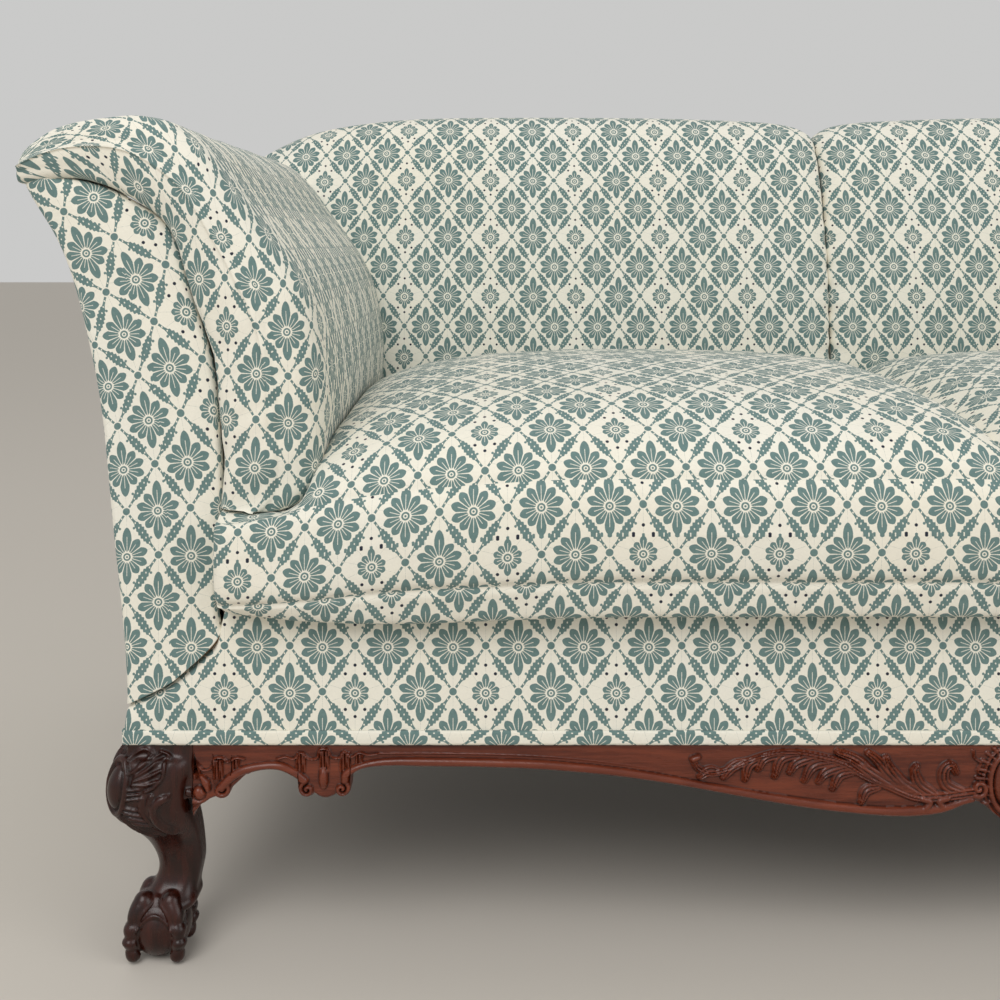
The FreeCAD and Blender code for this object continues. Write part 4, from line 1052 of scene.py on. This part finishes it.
def carved_rail(node, material, step):
    """A rail whose front face carries the apron's relief, above the outline of its lower edge."""
    low, high = node_box(node)
    outline = section(node, 1, high[1] - 0.003)
    edge = outline[outline[:, 1] < high[2] - 0.0005]
    order = np.argsort(edge[:, 0])
    steps = np.arange(low[0], high[0] + step, step)
    steps[-1] = high[0]
    bottoms = np.interp(steps, edge[order, 0], edge[order, 1])
    for middle, drop, radius in HANGING:
        across = np.abs(steps) - middle * MM
        reach = np.sqrt(np.clip((radius * MM) ** 2 - across ** 2, 0, None))
        hung = base_top - drop * MM - reach
        bottoms = np.where(reach > 0, np.minimum(bottoms, hung), bottoms)
    shares = np.linspace(0, 1, int((high[2] - low[2]) / step))
    z = bottoms[:, None] + (high[2] - bottoms[:, None]) * shares
    x = np.repeat(steps, len(shares))
    relief = apron_relief(x, z.ravel()).reshape(z.shape)
    free = 1.0 if "ear" in node else 1 - smooth(0.742, 0.748, np.abs(steps))[:, None]
    turned = np.clip((z - bottoms[:, None]) / 0.0045, 0, 1) * free + (1 - free)
    set_back = 0.0045 * (1 - np.sqrt(1 - (1 - turned) ** 2))
    top_round = np.ones_like(z) if "ear" in node else np.clip((high[2] - z) / 0.0015, 0, 1)
    y = front_y + GROUND_BACK + set_back - relief * MM * top_round + 0.0008 * (1 - top_round)
    count = len(steps)
    front = np.stack([np.repeat(steps[:, None], len(shares), 1), y, z], axis=2)
    behind = [[(s, high[1], high[2]), (s, high[1], b + 0.002), (s, high[1] - 0.002, b)]
              for s, b in zip(steps, bottoms)]
    rows = np.concatenate([front, np.array(behind)], axis=1)
    kept = np.concatenate([relief, np.zeros((count, 3))], axis=1)
    return tube(node + "_carved", rows, material, kept)


def mahogany(name, grain, light, dark, deep):
    """Polished show-wood: grain along one way, with painted shade darkening the cuts and a painted highlight
    lightening the raised carving.
    """
    material, tree, shader = new_material(name, Specular_IOR_Level=0.42)
    place = object_place(tree)
    stretched = object_place(tree, grain)
    figure = noise(tree, stretched, 9.0, 5.0, 0.65)
    pores = noise(tree, stretched, 90.0, 2.0, 0.6)
    broad = noise(tree, place, 6.0, 2.0)
    colour = mixed(tree, clamp((figure - 0.32) * 2.8), dark, light)
    colour = mixed(tree, clamp((broad - 0.4) * 1.6), colour, deep)
    colour = mixed(tree, clamp((pores - 0.56) * 5.0) * 0.5, colour, srgb(52, 20, 11))
    relief = Num(tree, add_node(tree, "ShaderNodeAttribute", attribute_name="relief").outputs["Fac"])
    # Painted highlight: the raised carving is mixed towards the light tone, as where light catches it.
    raised_painted_highlight = clamp((relief - 2.6) / 3.0) * 0.35
    colour = mixed(tree, raised_painted_highlight, colour, light)
    # Painted shade: hollows, found by pointiness, are darkened almost to black; they are also made rougher.
    edge = add_node(tree, "ShaderNodeNewGeometry").outputs["Pointiness"]
    hollow_shade_mask = clamp((0.49 - Num(tree, edge)) * 22.0)
    colour = mixed(tree, hollow_shade_mask * 0.85, colour, srgb(26, 9, 5))
    rough = 0.20 + 0.14 * figure + 0.3 * hollow_shade_mask
    paint(tree, shader, colour, bump(tree, pores, 0.0003, 0.35), rough)
    return material


# The front leg: places are distances round the knee from its corner and drops from the top
KNEE_LEAVES = [
    ([(9, 20), (11, 9), (20, 4), (28, 9), (27, 19), (20, 24)], [2.6, 3.4, 2.4], [3.6], 1.0),
    ([(25, 22), (31, 16), (37, 8)], [2.6, 3.0, 1.8], [4.0], 1.0),
    ([(28, 26), (37, 20), (44, 13)], [2.6, 3.0, 1.8], [4.0], 1.0),
    ([(28, 30), (40, 26), (50, 21)], [2.6, 3.2, 1.8], [4.0], 1.0),
    ([(28, 33), (40, 33), (51, 30)], [2.4, 3.0, 1.8], [3.8], 1.0),
    ([(36, 6), (45, 10), (52, 18), (54, 27), (49, 35), (41, 39)], [1.7], [3.8], 0),
    ([(47, 44), (44, 60), (47, 78), (55, 101)], [3.0, 5.2, 4.6, 1.6], [3.6], 1.5),
    ([(38, 46), (36, 60), (40, 76), (47, 90)], [2.6, 4.0, 3.4, 1.4], [3.0], 1.0),
    ([(8, 66), (14, 80), (24, 92)], [3.0, 4.4, 1.6], [2.8], 1.0),
    ([(16, 64), (24, 78), (34, 90)], [2.6, 4.0, 1.6], [2.6], 1.0),
    ([(66, 47), (58, 46), (50, 52), (46, 60), (45, 71), (48, 84), (55, 89), (60, 85)],
     [4.4, 3.6, 3.4, 3.4, 2.6], [5.0], 0),
    ([(60, 58), (62, 70), (60, 80)], [3.0, 6.0, 3.0], [-4.5], 0),
    ([(17, 12), (19, 17)], [3.4], [-3.2], 0),
]


def knee_relief(points, normals):
    """The knee's carving, the same on both outer faces of the leg."""
    inward = (half_base - points[:, 0]) / MM
    back = (points[:, 1] - front_y) / MM
    flat = np.stack([np.abs(inward - back), (base_top - points[:, 2]) / MM], axis=1)
    strokes = list(KNEE_LEAVES)
    strokes += [([(23, 38 + 4.4 * k), (35, 37 + 4.4 * k)], [1.7], [3.0], 0) for k in range(3)]
    strokes += [([(16 + 2 * k, 54 + 6 * k), (31 + 2 * k, 57 + 6 * k)], [2.2, 1.4], [3.0], 0)
                for k in range(4)]
    strokes.append(oval_ring((0, 39), 21.0, 25.0, 3.0, 4.2))
    height = stroke_field(flat, strokes)
    height = np.maximum(height, oval(flat, (0, 39), 15.5, 20.5, 4.6))
    outward = (normals[:, 0] - normals[:, 1]) * math.sqrt(0.5)
    edge = smooth(0.5, 3.5, flat[:, 1])
    return height * smooth(0.15, 0.5, outward) * edge


def claw_relief(points):
    """Knuckles and nails on the talons, and the web's lip round the ball."""
    inset = 0.42 * (half_base - apron_high[0])
    centre = np.array([half_base - inset, front_y + inset, 0.030])
    away = points - centre
    far = np.linalg.norm(away, axis=1) / MM
    z = points[:, 2] / MM
    azimuth = np.degrees(np.arctan2(away[:, 1], away[:, 0])) % 90
    beside = np.abs(np.abs(azimuth - 45) - 45)
    talon = smooth(31.8, 34.0, far) * (1 - smooth(56, 66, z))
    steps = [(52, 7, 1.2), (42, 3, -1.1), (35, 4, 1.3), (27.5, 2.4, -1.2), (22, 3, 1.0),
             (15.5, 1.6, -0.9), (8, 5, 1.3)]
    knuckles = sum(size * np.exp(-((z - at) / spread) ** 2) for at, spread, size in steps)
    arch = 46.0 - 13.0 * (beside / 34.0) ** 2
    web = smooth(-0.8, 0.8, z - arch) * (1 - smooth(33.5, 36, far)) * (1 - smooth(62, 72, z))
    lip = 0.9 * np.exp(-((z - arch - 1.6) / 1.3) ** 2) * (1 - smooth(33.5, 36, far))
    return talon * knuckles + 1.8 * web + lip * (z < 60)


def front_leg(material):
    """A cabriole leg with a carved knee and a claw-and-ball foot."""
    piece = remeshed("front_leg_right_carved", "front_leg_right", 0.0011)
    apply_modifiers(piece)
    points, normals = arrays(piece)
    outward = smooth(-0.1, 0.3, (points[:, 0] - points[:, 1] - half_base - front_y) * 20 + 0.4)
    joint = smooth(0.0, 0.004, points[:, 0] - apron_high[0])
    under = smooth(0.182, 0.194, points[:, 2]) * (1 - smooth(0.214, 0.2175, points[:, 2]))
    for name, weights, rounds in (("ledge", under * outward * joint, 160),
                                  ("skin", joint * (1 - smooth(0.2165, 0.2178, points[:, 2])), 7)):
        group = piece.vertex_groups.new(name=name)
        for index in np.flatnonzero(weights > 0.02):
            group.add([int(index)], float(weights[index]), "REPLACE")
        soften(piece, name, rounds, name)
    apply_modifiers(piece)
    points, normals = arrays(piece)
    relief = knee_relief(points, normals)
    moved = points + normals * ((relief + claw_relief(points)) * MM)[:, None]
    moved[:, 2] = np.clip(moved[:, 2], 0.0, base_top)
    set_points(piece, moved)
    keep_relief(piece, relief)
    finished_in(piece, material)
    piece.data.shade_smooth()
    return piece


def eased(node, width, material):
    """Rounds the edges of a frame piece that stays, and gives it its finish."""
    piece = nodes[node]
    finished_in(piece, material)
    bevel = piece.modifiers.new("eased edges", "BEVEL")
    bevel.width = width
    bevel.segments = 3
    bevel.limit_method = "ANGLE"
    bevel.angle_limit = math.radians(35)


# Padding: the cloth is blown up inside its seams, and how far it moves is evened out and capped
def evened_out(piece, values, rounds):
    """Averages values given at the points of a piece with those of the neighbours, over and over."""
    edges = np.empty(2 * len(piece.data.edges), dtype=np.int32)
    piece.data.edges.foreach_get("vertices", edges)
    edges = edges.reshape(-1, 2)
    count = np.bincount(edges.ravel(), minlength=len(values))[:, None]
    for _ in range(rounds):
        total = np.zeros_like(values)
        np.add.at(total, edges[:, 0], values[edges[:, 1]])
        np.add.at(total, edges[:, 1], values[edges[:, 0]])
        values = 0.5 * values + 0.5 * total / np.maximum(count, 1)
    return values


def puffed(piece, held, cap):
    """Simulates a padded piece's cloth on a welded copy, with some points held and a little more
    cloth than its shape. No point moves inward, or further than the cap, in metres, and the arm
    roll's tip stays."""
    before, normals = arrays(piece)
    proxy = linked("proxy", piece.data.copy())
    work = bmesh.new()
    work.from_mesh(proxy.data)
    bmesh.ops.remove_doubles(work, verts=work.verts, dist=0.0006)
    bmesh.ops.dissolve_degenerate(work, edges=work.edges, dist=0.0002)
    work.to_mesh(proxy.data)
    work.free()
    start, _ = arrays(proxy)
    tree = KDTree(len(start))
    for index, point in enumerate(start):
        tree.insert(point, index)
    tree.balance()
    partner = np.array([tree.find(point)[1] for point in before])
    pinned = np.zeros(len(start))
    np.maximum.at(pinned, partner, held.astype(float))
    group = proxy.vertex_groups.new(name="held")
    group.add([int(index) for index in np.flatnonzero(pinned > 0.5)], 1.0, "REPLACE")
    modifier = proxy.modifiers.new("cloth", "CLOTH")
    settings = modifier.settings
    settings.vertex_group_mass = "held"
    settings.quality = 5
    settings.mass = 0.15
    settings.tension_stiffness = 10.0
    settings.compression_stiffness = 10.0
    settings.bending_stiffness = 0.05
    settings.use_pressure = True
    settings.uniform_pressure_force = 4.0
    settings.shrink_min = -0.03
    settings.effector_weights.gravity = 0.0
    for number in range(1, 21):
        bpy.context.scene.frame_set(number)
    apply_modifiers(proxy)
    bpy.context.scene.frame_set(1)
    after, _ = arrays(proxy)
    moved = (after - start)[partner]
    bpy.data.objects.remove(proxy)
    moved -= normals * np.minimum(np.sum(moved * normals, axis=1), 0.0)[:, None]
    moved = evened_out(piece, moved, 24)
    loose = 1 - smooth(pad_high[0] - 0.16, pad_high[0] - 0.04, before[:, 0])
    moved *= loose[:, None]
    size = np.maximum(np.linalg.norm(moved, axis=1), 1e-9)[:, None]
    set_points(piece, before + moved * cap * np.tanh(size / cap) / size)


def puff_pieces(pad, back, cushion):
    """Runs the cloth of the right side's arm pad, back pad and cushion, with their seams held."""
    points, normals = arrays(pad)
    x, y, z = points.T
    grooved = (normals[:, 0] - normals[:, 2] > 0.6) & (y > -0.37)
    held = (np.abs(z - pad_low[2]) < 0.006) | (y > 0.28) | grooved | (x > pad_high[0] - 0.045)
    puffed(pad, held, 0.006)
    x, y, z = arrays(back)[0].T
    held = (x > 0.68) | (x < 0.004) | (y > 0.36) | (np.abs(z - back_low[2]) < 0.012)
    puffed(back, held, 0.006)
    x, y, z = arrays(cushion)[0].T
    seams = np.isin(np.arange(len(x)) % CUSHION_LOOP, CUSHION_SEAMS)
    held = seams | (np.abs(z - cover_low[2]) < 0.010) | (x > pad_low[0] - 0.004)
    puffed(cushion, held, 0.007)


def moved_along(piece, height):
    """Raises a piece's skin by so many metres along its normals."""
    points, normals = arrays(piece)
    set_points(piece, points + normals * height[:, None])


def undulation(points, seed):
    """The soft hollows and rises of stuffing under cloth, in metres."""
    broad = 0.0016 * value_noise(points, 0.13, seed)
    middle = 0.0009 * value_noise(points, 0.055, seed + 1)
    drag = points * np.array([1.0, 1.0, 0.35])
    return broad + middle + 0.0005 * value_noise(drag, 0.018, seed + 2)


def puckers(along, away, step, reach, seed):
    """Short ripples that run out from a seam, from -1 to 1."""
    spot = np.stack([along, along * 0, along * 0], axis=1)
    phase = along / step + 0.9 * value_noise(spot, 2.2 * step, seed)
    strength = 0.55 + 0.45 * value_noise(spot, 4.0 * step, seed + 1)
    return strength * np.cos(2 * math.pi * phase) * np.exp(-away / reach)


def creased_cushion(cushion):
    """Puckers along the cushion's seams, and soft hollows over its top."""
    points, _ = arrays(cushion)
    height = undulation(points, 31)
    grid = len(points) // CUSHION_LOOP * CUSHION_LOOP
    body = points[:grid].reshape(-1, CUSHION_LOOP, 3)
    for seed, seam in enumerate(CUSHION_SEAMS):
        away = np.linalg.norm(body - body[:, seam:seam + 1], axis=2).ravel()
        ripple = puckers(points[:grid, 0], away, 0.027, 0.022, 41 + 2 * seed)
        height[:grid] += 0.0016 * ripple * (1 - np.exp(-away / 0.004))
    resting = smooth(cover_low[2] + 0.004, cover_low[2] + 0.02, points[:, 2])
    moved_along(cushion, height * resting)


def creased_back(back):
    """Vertical puckers where the two back pads meet, and along the foot and the crest."""
    points, _ = arrays(back)
    height = 0.8 * undulation(points, 51)
    ripple = puckers(points[:, 2], points[:, 0], 0.034, 0.030, 61)
    height += 0.0014 * ripple
    foot = puckers(points[:, 0], points[:, 2] - back_low[2], 0.045, 0.03, 63)
    seen = (points[:, 1] < 0.345).astype(float)
    moved_along(back, (height + 0.001 * foot) * seen)


def creased_arm(pad, facing):
    """Drags in the arm pad's cloth from its foot and its groove, and a few in the facing."""
    points, _ = arrays(pad)
    height = undulation(points, 71)
    foot = puckers(points[:, 1], points[:, 2] - pad_low[2], 0.040, 0.035, 73)
    front = puckers(points[:, 2] + 0.5 * points[:, 0], points[:, 1] - pad_low[1], 0.037, 0.030, 75)
    free = 1 - smooth(0.25, 0.31, points[:, 1])
    moved_along(pad, (height + 0.0012 * foot + 0.0012 * front) * free)
    points, normals = arrays(facing)
    outward = smooth(0.3, 0.8, -normals[:, 1])
    drag = puckers(points[:, 2], facing_high[0] - points[:, 0], 0.046, 0.06, 81)
    moved_along(facing, (0.5 * undulation(points, 83) + 0.0008 * drag) * outward)


# Sheets and the works inside
def flat_sheet(name, node, material):
    """A thin cloth that fills a flat node."""
    low, high = node_box(node)
    thin = int(np.argmin(high - low))
    spread = [k for k in range(3) if k != thin]
    first, second = [np.linspace(low[k], high[k], max(8, int((high - low)[k] / 0.012)))
                     for k in spread]
    rows, uv = [], []
    for a in first:
        lines = []
        for face in (low[thin], high[thin]):
            line = np.zeros((len(second), 3))
            line[:, spread[0]] = a
            line[:, spread[1]] = second
            line[:, thin] = face
            lines.append(line)
        rows.append(ring(*lines))
        uv.append(print_row(a, ring(second, second)))
    return loft(name, rows, uv, material, cap_axes=spread, cap_rows=2)


def stuffed(name, node, material, voxel, lump):
    """A soft inner pad: the node's solid with rounded edges and a lumpy skin, inside its space."""
    piece = remeshed(name, node, voxel)
    soften(piece, "soften", 4)
    apply_modifiers(piece)
    points, normals = arrays(piece)
    depth = 0.5 + 0.5 * value_noise(points, 0.045, 11)
    depth += 0.3 * (0.5 + 0.5 * value_noise(points, 0.018, 12))
    set_points(piece, points - normals * (lump * depth)[:, None])
    finished_in(piece, material)
    piece.data.shade_smooth()
    return piece


def beech():
    """Plain planed beech for the hidden frame, with short dark flecks."""
    material, tree, shader = new_material("beech", Roughness=0.62, Specular_IOR_Level=0.3)
    stretched = object_place(tree, (1.0, 9.0, 9.0))
    figure = noise(tree, stretched, 10.0, 4.0, 0.6)
    fleck = noise(tree, stretched, 160.0, 2.0)
    colour = mixed(tree, clamp((figure - 0.3) * 2.5), srgb(176, 134, 92), srgb(208, 170, 126))
    colour = mixed(tree, clamp((fleck - 0.62) * 8.0) * 0.6, colour, srgb(132, 90, 56))
    paint(tree, shader, colour, bump(tree, fleck, 0.0003, 0.4))
    return material


def steel():
    """Coppered spring wire and screw heads, a little dull."""
    material, tree, shader = new_material("spring_steel", Metallic=1.0)
    patch = noise(tree, object_place(tree), 60.0, 3.0)
    colour = mixed(tree, patch, srgb(150, 142, 132), srgb(112, 98, 86))
    paint(tree, shader, colour, rough=0.28 + 0.3 * patch)
    return material


def woven(name, first, second, thread, stripe=None):
    """A coarse plain weave on the object's own place: thread is its step in metres."""
    material, tree, shader = new_material(name, Roughness=0.9, Specular_IOR_Level=0.2)
    place = object_place(tree)
    parts = add_node(tree, "ShaderNodeSeparateXYZ", {"Vector": place})
    across = Num(tree, parts.outputs["X"])
    along = Num(tree, parts.outputs["Y"]) + Num(tree, parts.outputs["Z"])
    waves = [((axis * (2 * math.pi / thread)).op("SINE") + 1.0) * 0.5 for axis in (across, along)]
    over = waves[0] * waves[1]
    slub = noise(tree, place, 350.0, 3.0)
    colour = mixed(tree, clamp(over * 0.7 + slub * 0.5), first, second)
    if stripe is not None:
        line = ((across + along).op("PINGPONG", 0.012) - 0.0045).op("LESS_THAN", 0.0)
        colour = mixed(tree, line * 0.8, colour, stripe)
    paint(tree, shader, colour, bump(tree, over, 0.0005, 0.6))
    return material


def hair():
    """Curled hair and fibre, under its scrim."""
    material, tree, shader = new_material("hair", Roughness=0.95, Specular_IOR_Level=0.15)
    place = object_place(tree)
    curl = noise(tree, place, 240.0, 5.0, 0.75)
    colour = mixed(tree, clamp((curl - 0.3) * 2.4), srgb(70, 56, 44), srgb(134, 114, 90))
    paint(tree, shader, colour, bump(tree, curl, 0.002, 0.8))
    return material


def declare_sheet(piece, rests_on):
    """Works out a stretched cloth's flat size: its two long sides, with 20 mm turned in, and longer
    where its area needs it. The size is then not kept or passed on."""
    points, _ = arrays(piece)
    width, reach = np.sort(np.ptp(points, axis=0))[1:] + 0.02
    area = sum(face.area for face in piece.data.polygons) / 2
    reach = max(reach, 1.01 * area / width)


def hand_in(piece, body, stands_for):
    """Hangs a finished piece on the empty of the body it rides on, and hides the nodes it stands for."""
    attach(piece, body)
    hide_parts(*stands_for)


# Assembly
def camera():
    data = bpy.data.cameras.new("camera")
    data.sensor_width = 36.0
    data.lens = 36.0 * 1.224
    data.shift_y = -0.258
    eye = linked("camera", data)
    eye.location = (-0.498, front_y - 1.20, 0.7105)
    eye.rotation_euler = (math.radians(90), 0, 0)
    bpy.context.scene.camera = eye


def area_light(name, place, power):
    """A square lamp that faces the sofa's middle."""
    data = bpy.data.lights.new(name, "AREA")
    data.shape = "RECTANGLE"
    data.size = 2.4
    data.size_y = 2.4
    data.energy = power
    lamp = linked(name, data)
    lamp.location = place
    way = np.array((0.0, 0.0, 0.5)) - np.array(place, float)
    lamp.rotation_euler = Vector(way).to_track_quat("-Z", "Y").to_euler()


def studio():
    scene = bpy.context.scene
    scene.view_settings.view_transform = "Standard"
    world = bpy.data.worlds.new("studio")
    scene.world = world
    world.use_nodes = True
    world.node_tree.nodes["Background"].inputs["Color"].default_value = (0.95, 0.95, 0.94, 1)
    world.node_tree.nodes["Background"].inputs["Strength"].default_value = 0.62
    area_light("key", (-1.6, -3.0, 3.2), 78)
    area_light("fill", (2.8, -2.4, 2.2), 30)
    material, tree, shader = new_material("floor", Roughness=0.9)
    paint(tree, shader, srgb(205, 198, 188))
    floor = build("floor", [(-20, -20, 0), (20, -20, 0), (20, 20, 0), (-20, 20, 0)],
                  [(0, 1, 2, 3)], None, material)


studio()
camera()
cloth = fabric()
pad, facing, panel = arm_pad(cloth), arm_facing(cloth), outside_arm(cloth)
back, cushion = back_pad(cloth), seat_cushion(cloth)
puff_pieces(pad, back, cushion)
creased_arm(pad, facing)
creased_back(back)
creased_cushion(cushion)
for piece, names, fill in ((pad, ["arm_pad"], 0.85), (facing, ["arm_facing"], 0.85),
                           (panel, ["outside_arm"], None), (back, ["back_pad"], 0.85),
                           (cushion, ["seat_cushion_cover", "seat_cushion_insert"], 0.55)):
    subdivide(piece)
    left = mirrored(piece, piece.name.replace("right", "left"))
    for copy, side in ((piece, "right"), (left, "left")):
        body = "cushion_" + side if piece == cushion else "root"
        hand_in(copy, body, [name + "_" + side for name in names])
        if fill is None:
            declare_sheet(copy, ["arm_block_" + side, "front_arm_post_" + side])

# The sheets that have no mirror image: piece, node, what it rests on and slot
border = front_border(cloth)
subdivide(border)
straight_print(border)
sheets = [(border, "front_border", ["seat_rail_front"], "print_cloth"),
          (outside_back(cloth), "outside_back", ["back_top_rail", "seat_rail_back"],
           "print_cloth")]
for node, under in (("front_band", "front_border_cloth"), ("rear_band", "outside_back_cloth"),
                    ("side_band_left", "outside_arm_left_cloth"),
                    ("side_band_right", "outside_arm_right_cloth")):
    sheets.append((band(node, cloth), node, [under], "print_cloth"))
platform = woven("platform_cloth", srgb(226, 219, 200), srgb(240, 235, 220), 0.0016)
calico = woven("lining_cloth", srgb(221, 213, 192), srgb(236, 229, 212), 0.0014)
hessian = woven("hessian", srgb(150, 121, 82), srgb(188, 160, 118), 0.0028)
black = woven("dust_cloth", srgb(22, 22, 24), srgb(42, 42, 44), 0.0012)
for name, node, stuff, rests_on, slot in (
        ("arm_lining_left_cloth", "arm_lining_left", calico, ["arm_tack_rail_left"], "ticking"),
        ("arm_lining_right_cloth", "arm_lining_right", calico, ["arm_tack_rail_right"], "ticking"),
        ("seat_deck_cloth", "seat_deck_cover", platform, ["seat_stuffing_pad"], "platform_cloth"),
        ("spring_hessian_cloth", "spring_hessian", hessian, ["seat_springs"], "hessian"),
        ("dust_cover_cloth", "dust_cover", black, ["seat_rail_front", "seat_rail_back"],
         "dust_cloth")):
    sheets.append((flat_sheet(name, node, stuff), node, rests_on, slot))
stuffing = hair()
for name, node, voxel, lump in (("seat_stuffing_pad", "seat_stuffing", 0.008, 0.0012),
                                ("seat_edge_roll_pad", "seat_edge_roll", 0.005, 0.0008)):
    piece = stuffed(name, node, stuffing, voxel, lump)
    hand_in(piece, "root", [node])
for piece, node, rests_on, slot in sheets:
    hand_in(piece, "root", [node])
    declare_sheet(piece, rests_on)

# The show-wood, and the finish of the works inside
rail_wood = mahogany("rail_mahogany", (1.0, 14.0, 14.0), srgb(124, 58, 35), srgb(66, 22, 11),
                     srgb(80, 30, 15))
# The legs' mahogany is much darker than the rails': partly the legs' real patina, partly painted shade for
# the shade under the seat.
leg_wood_patina_and_shade = mahogany("leg_mahogany_patina_and_shade", (14.0, 14.0, 1.0), srgb(58, 20, 10), srgb(25, 7, 3),
                    srgb(34, 10, 5))
leg = front_leg(leg_wood_patina_and_shade)
hand_in(leg, "root", ["front_leg_right"])
hand_in(mirrored(leg, "front_leg_left_carved"), "root", ["front_leg_left"])
plain_rails = ["side_apron_left", "side_apron_right", "rear_apron", "knee_ears_side"]
rear_legs = ["rear_leg_left", "rear_leg_right"]
for node in plain_rails:
    eased(node, 0.0018, rail_wood)
for node in rear_legs:
    # The rear legs take the same darkened colours: patina and painted shade.
    eased(node, 0.0025, leg_wood_patina_and_shade)
fine = 0.001
for node in ("front_apron", "knee_ear_front_left", "knee_ear_front_right"):
    hand_in(carved_rail(node, rail_wood, fine), "root", [node])
frame_wood = beech()
wire = steel()
strap = woven("webbing", srgb(120, 96, 66), srgb(206, 190, 160), 0.0022, stripe=srgb(46, 40, 36))
for name, node in nodes.items():
    if node.hide_render or name in plain_rails + rear_legs:
        continue
    finish = frame_wood
    if name in ("seat_springs", "corner_block_screws"):
        finish = wire
    elif "webbing" in name:
        finish = strap
    finished_in(node, finish)
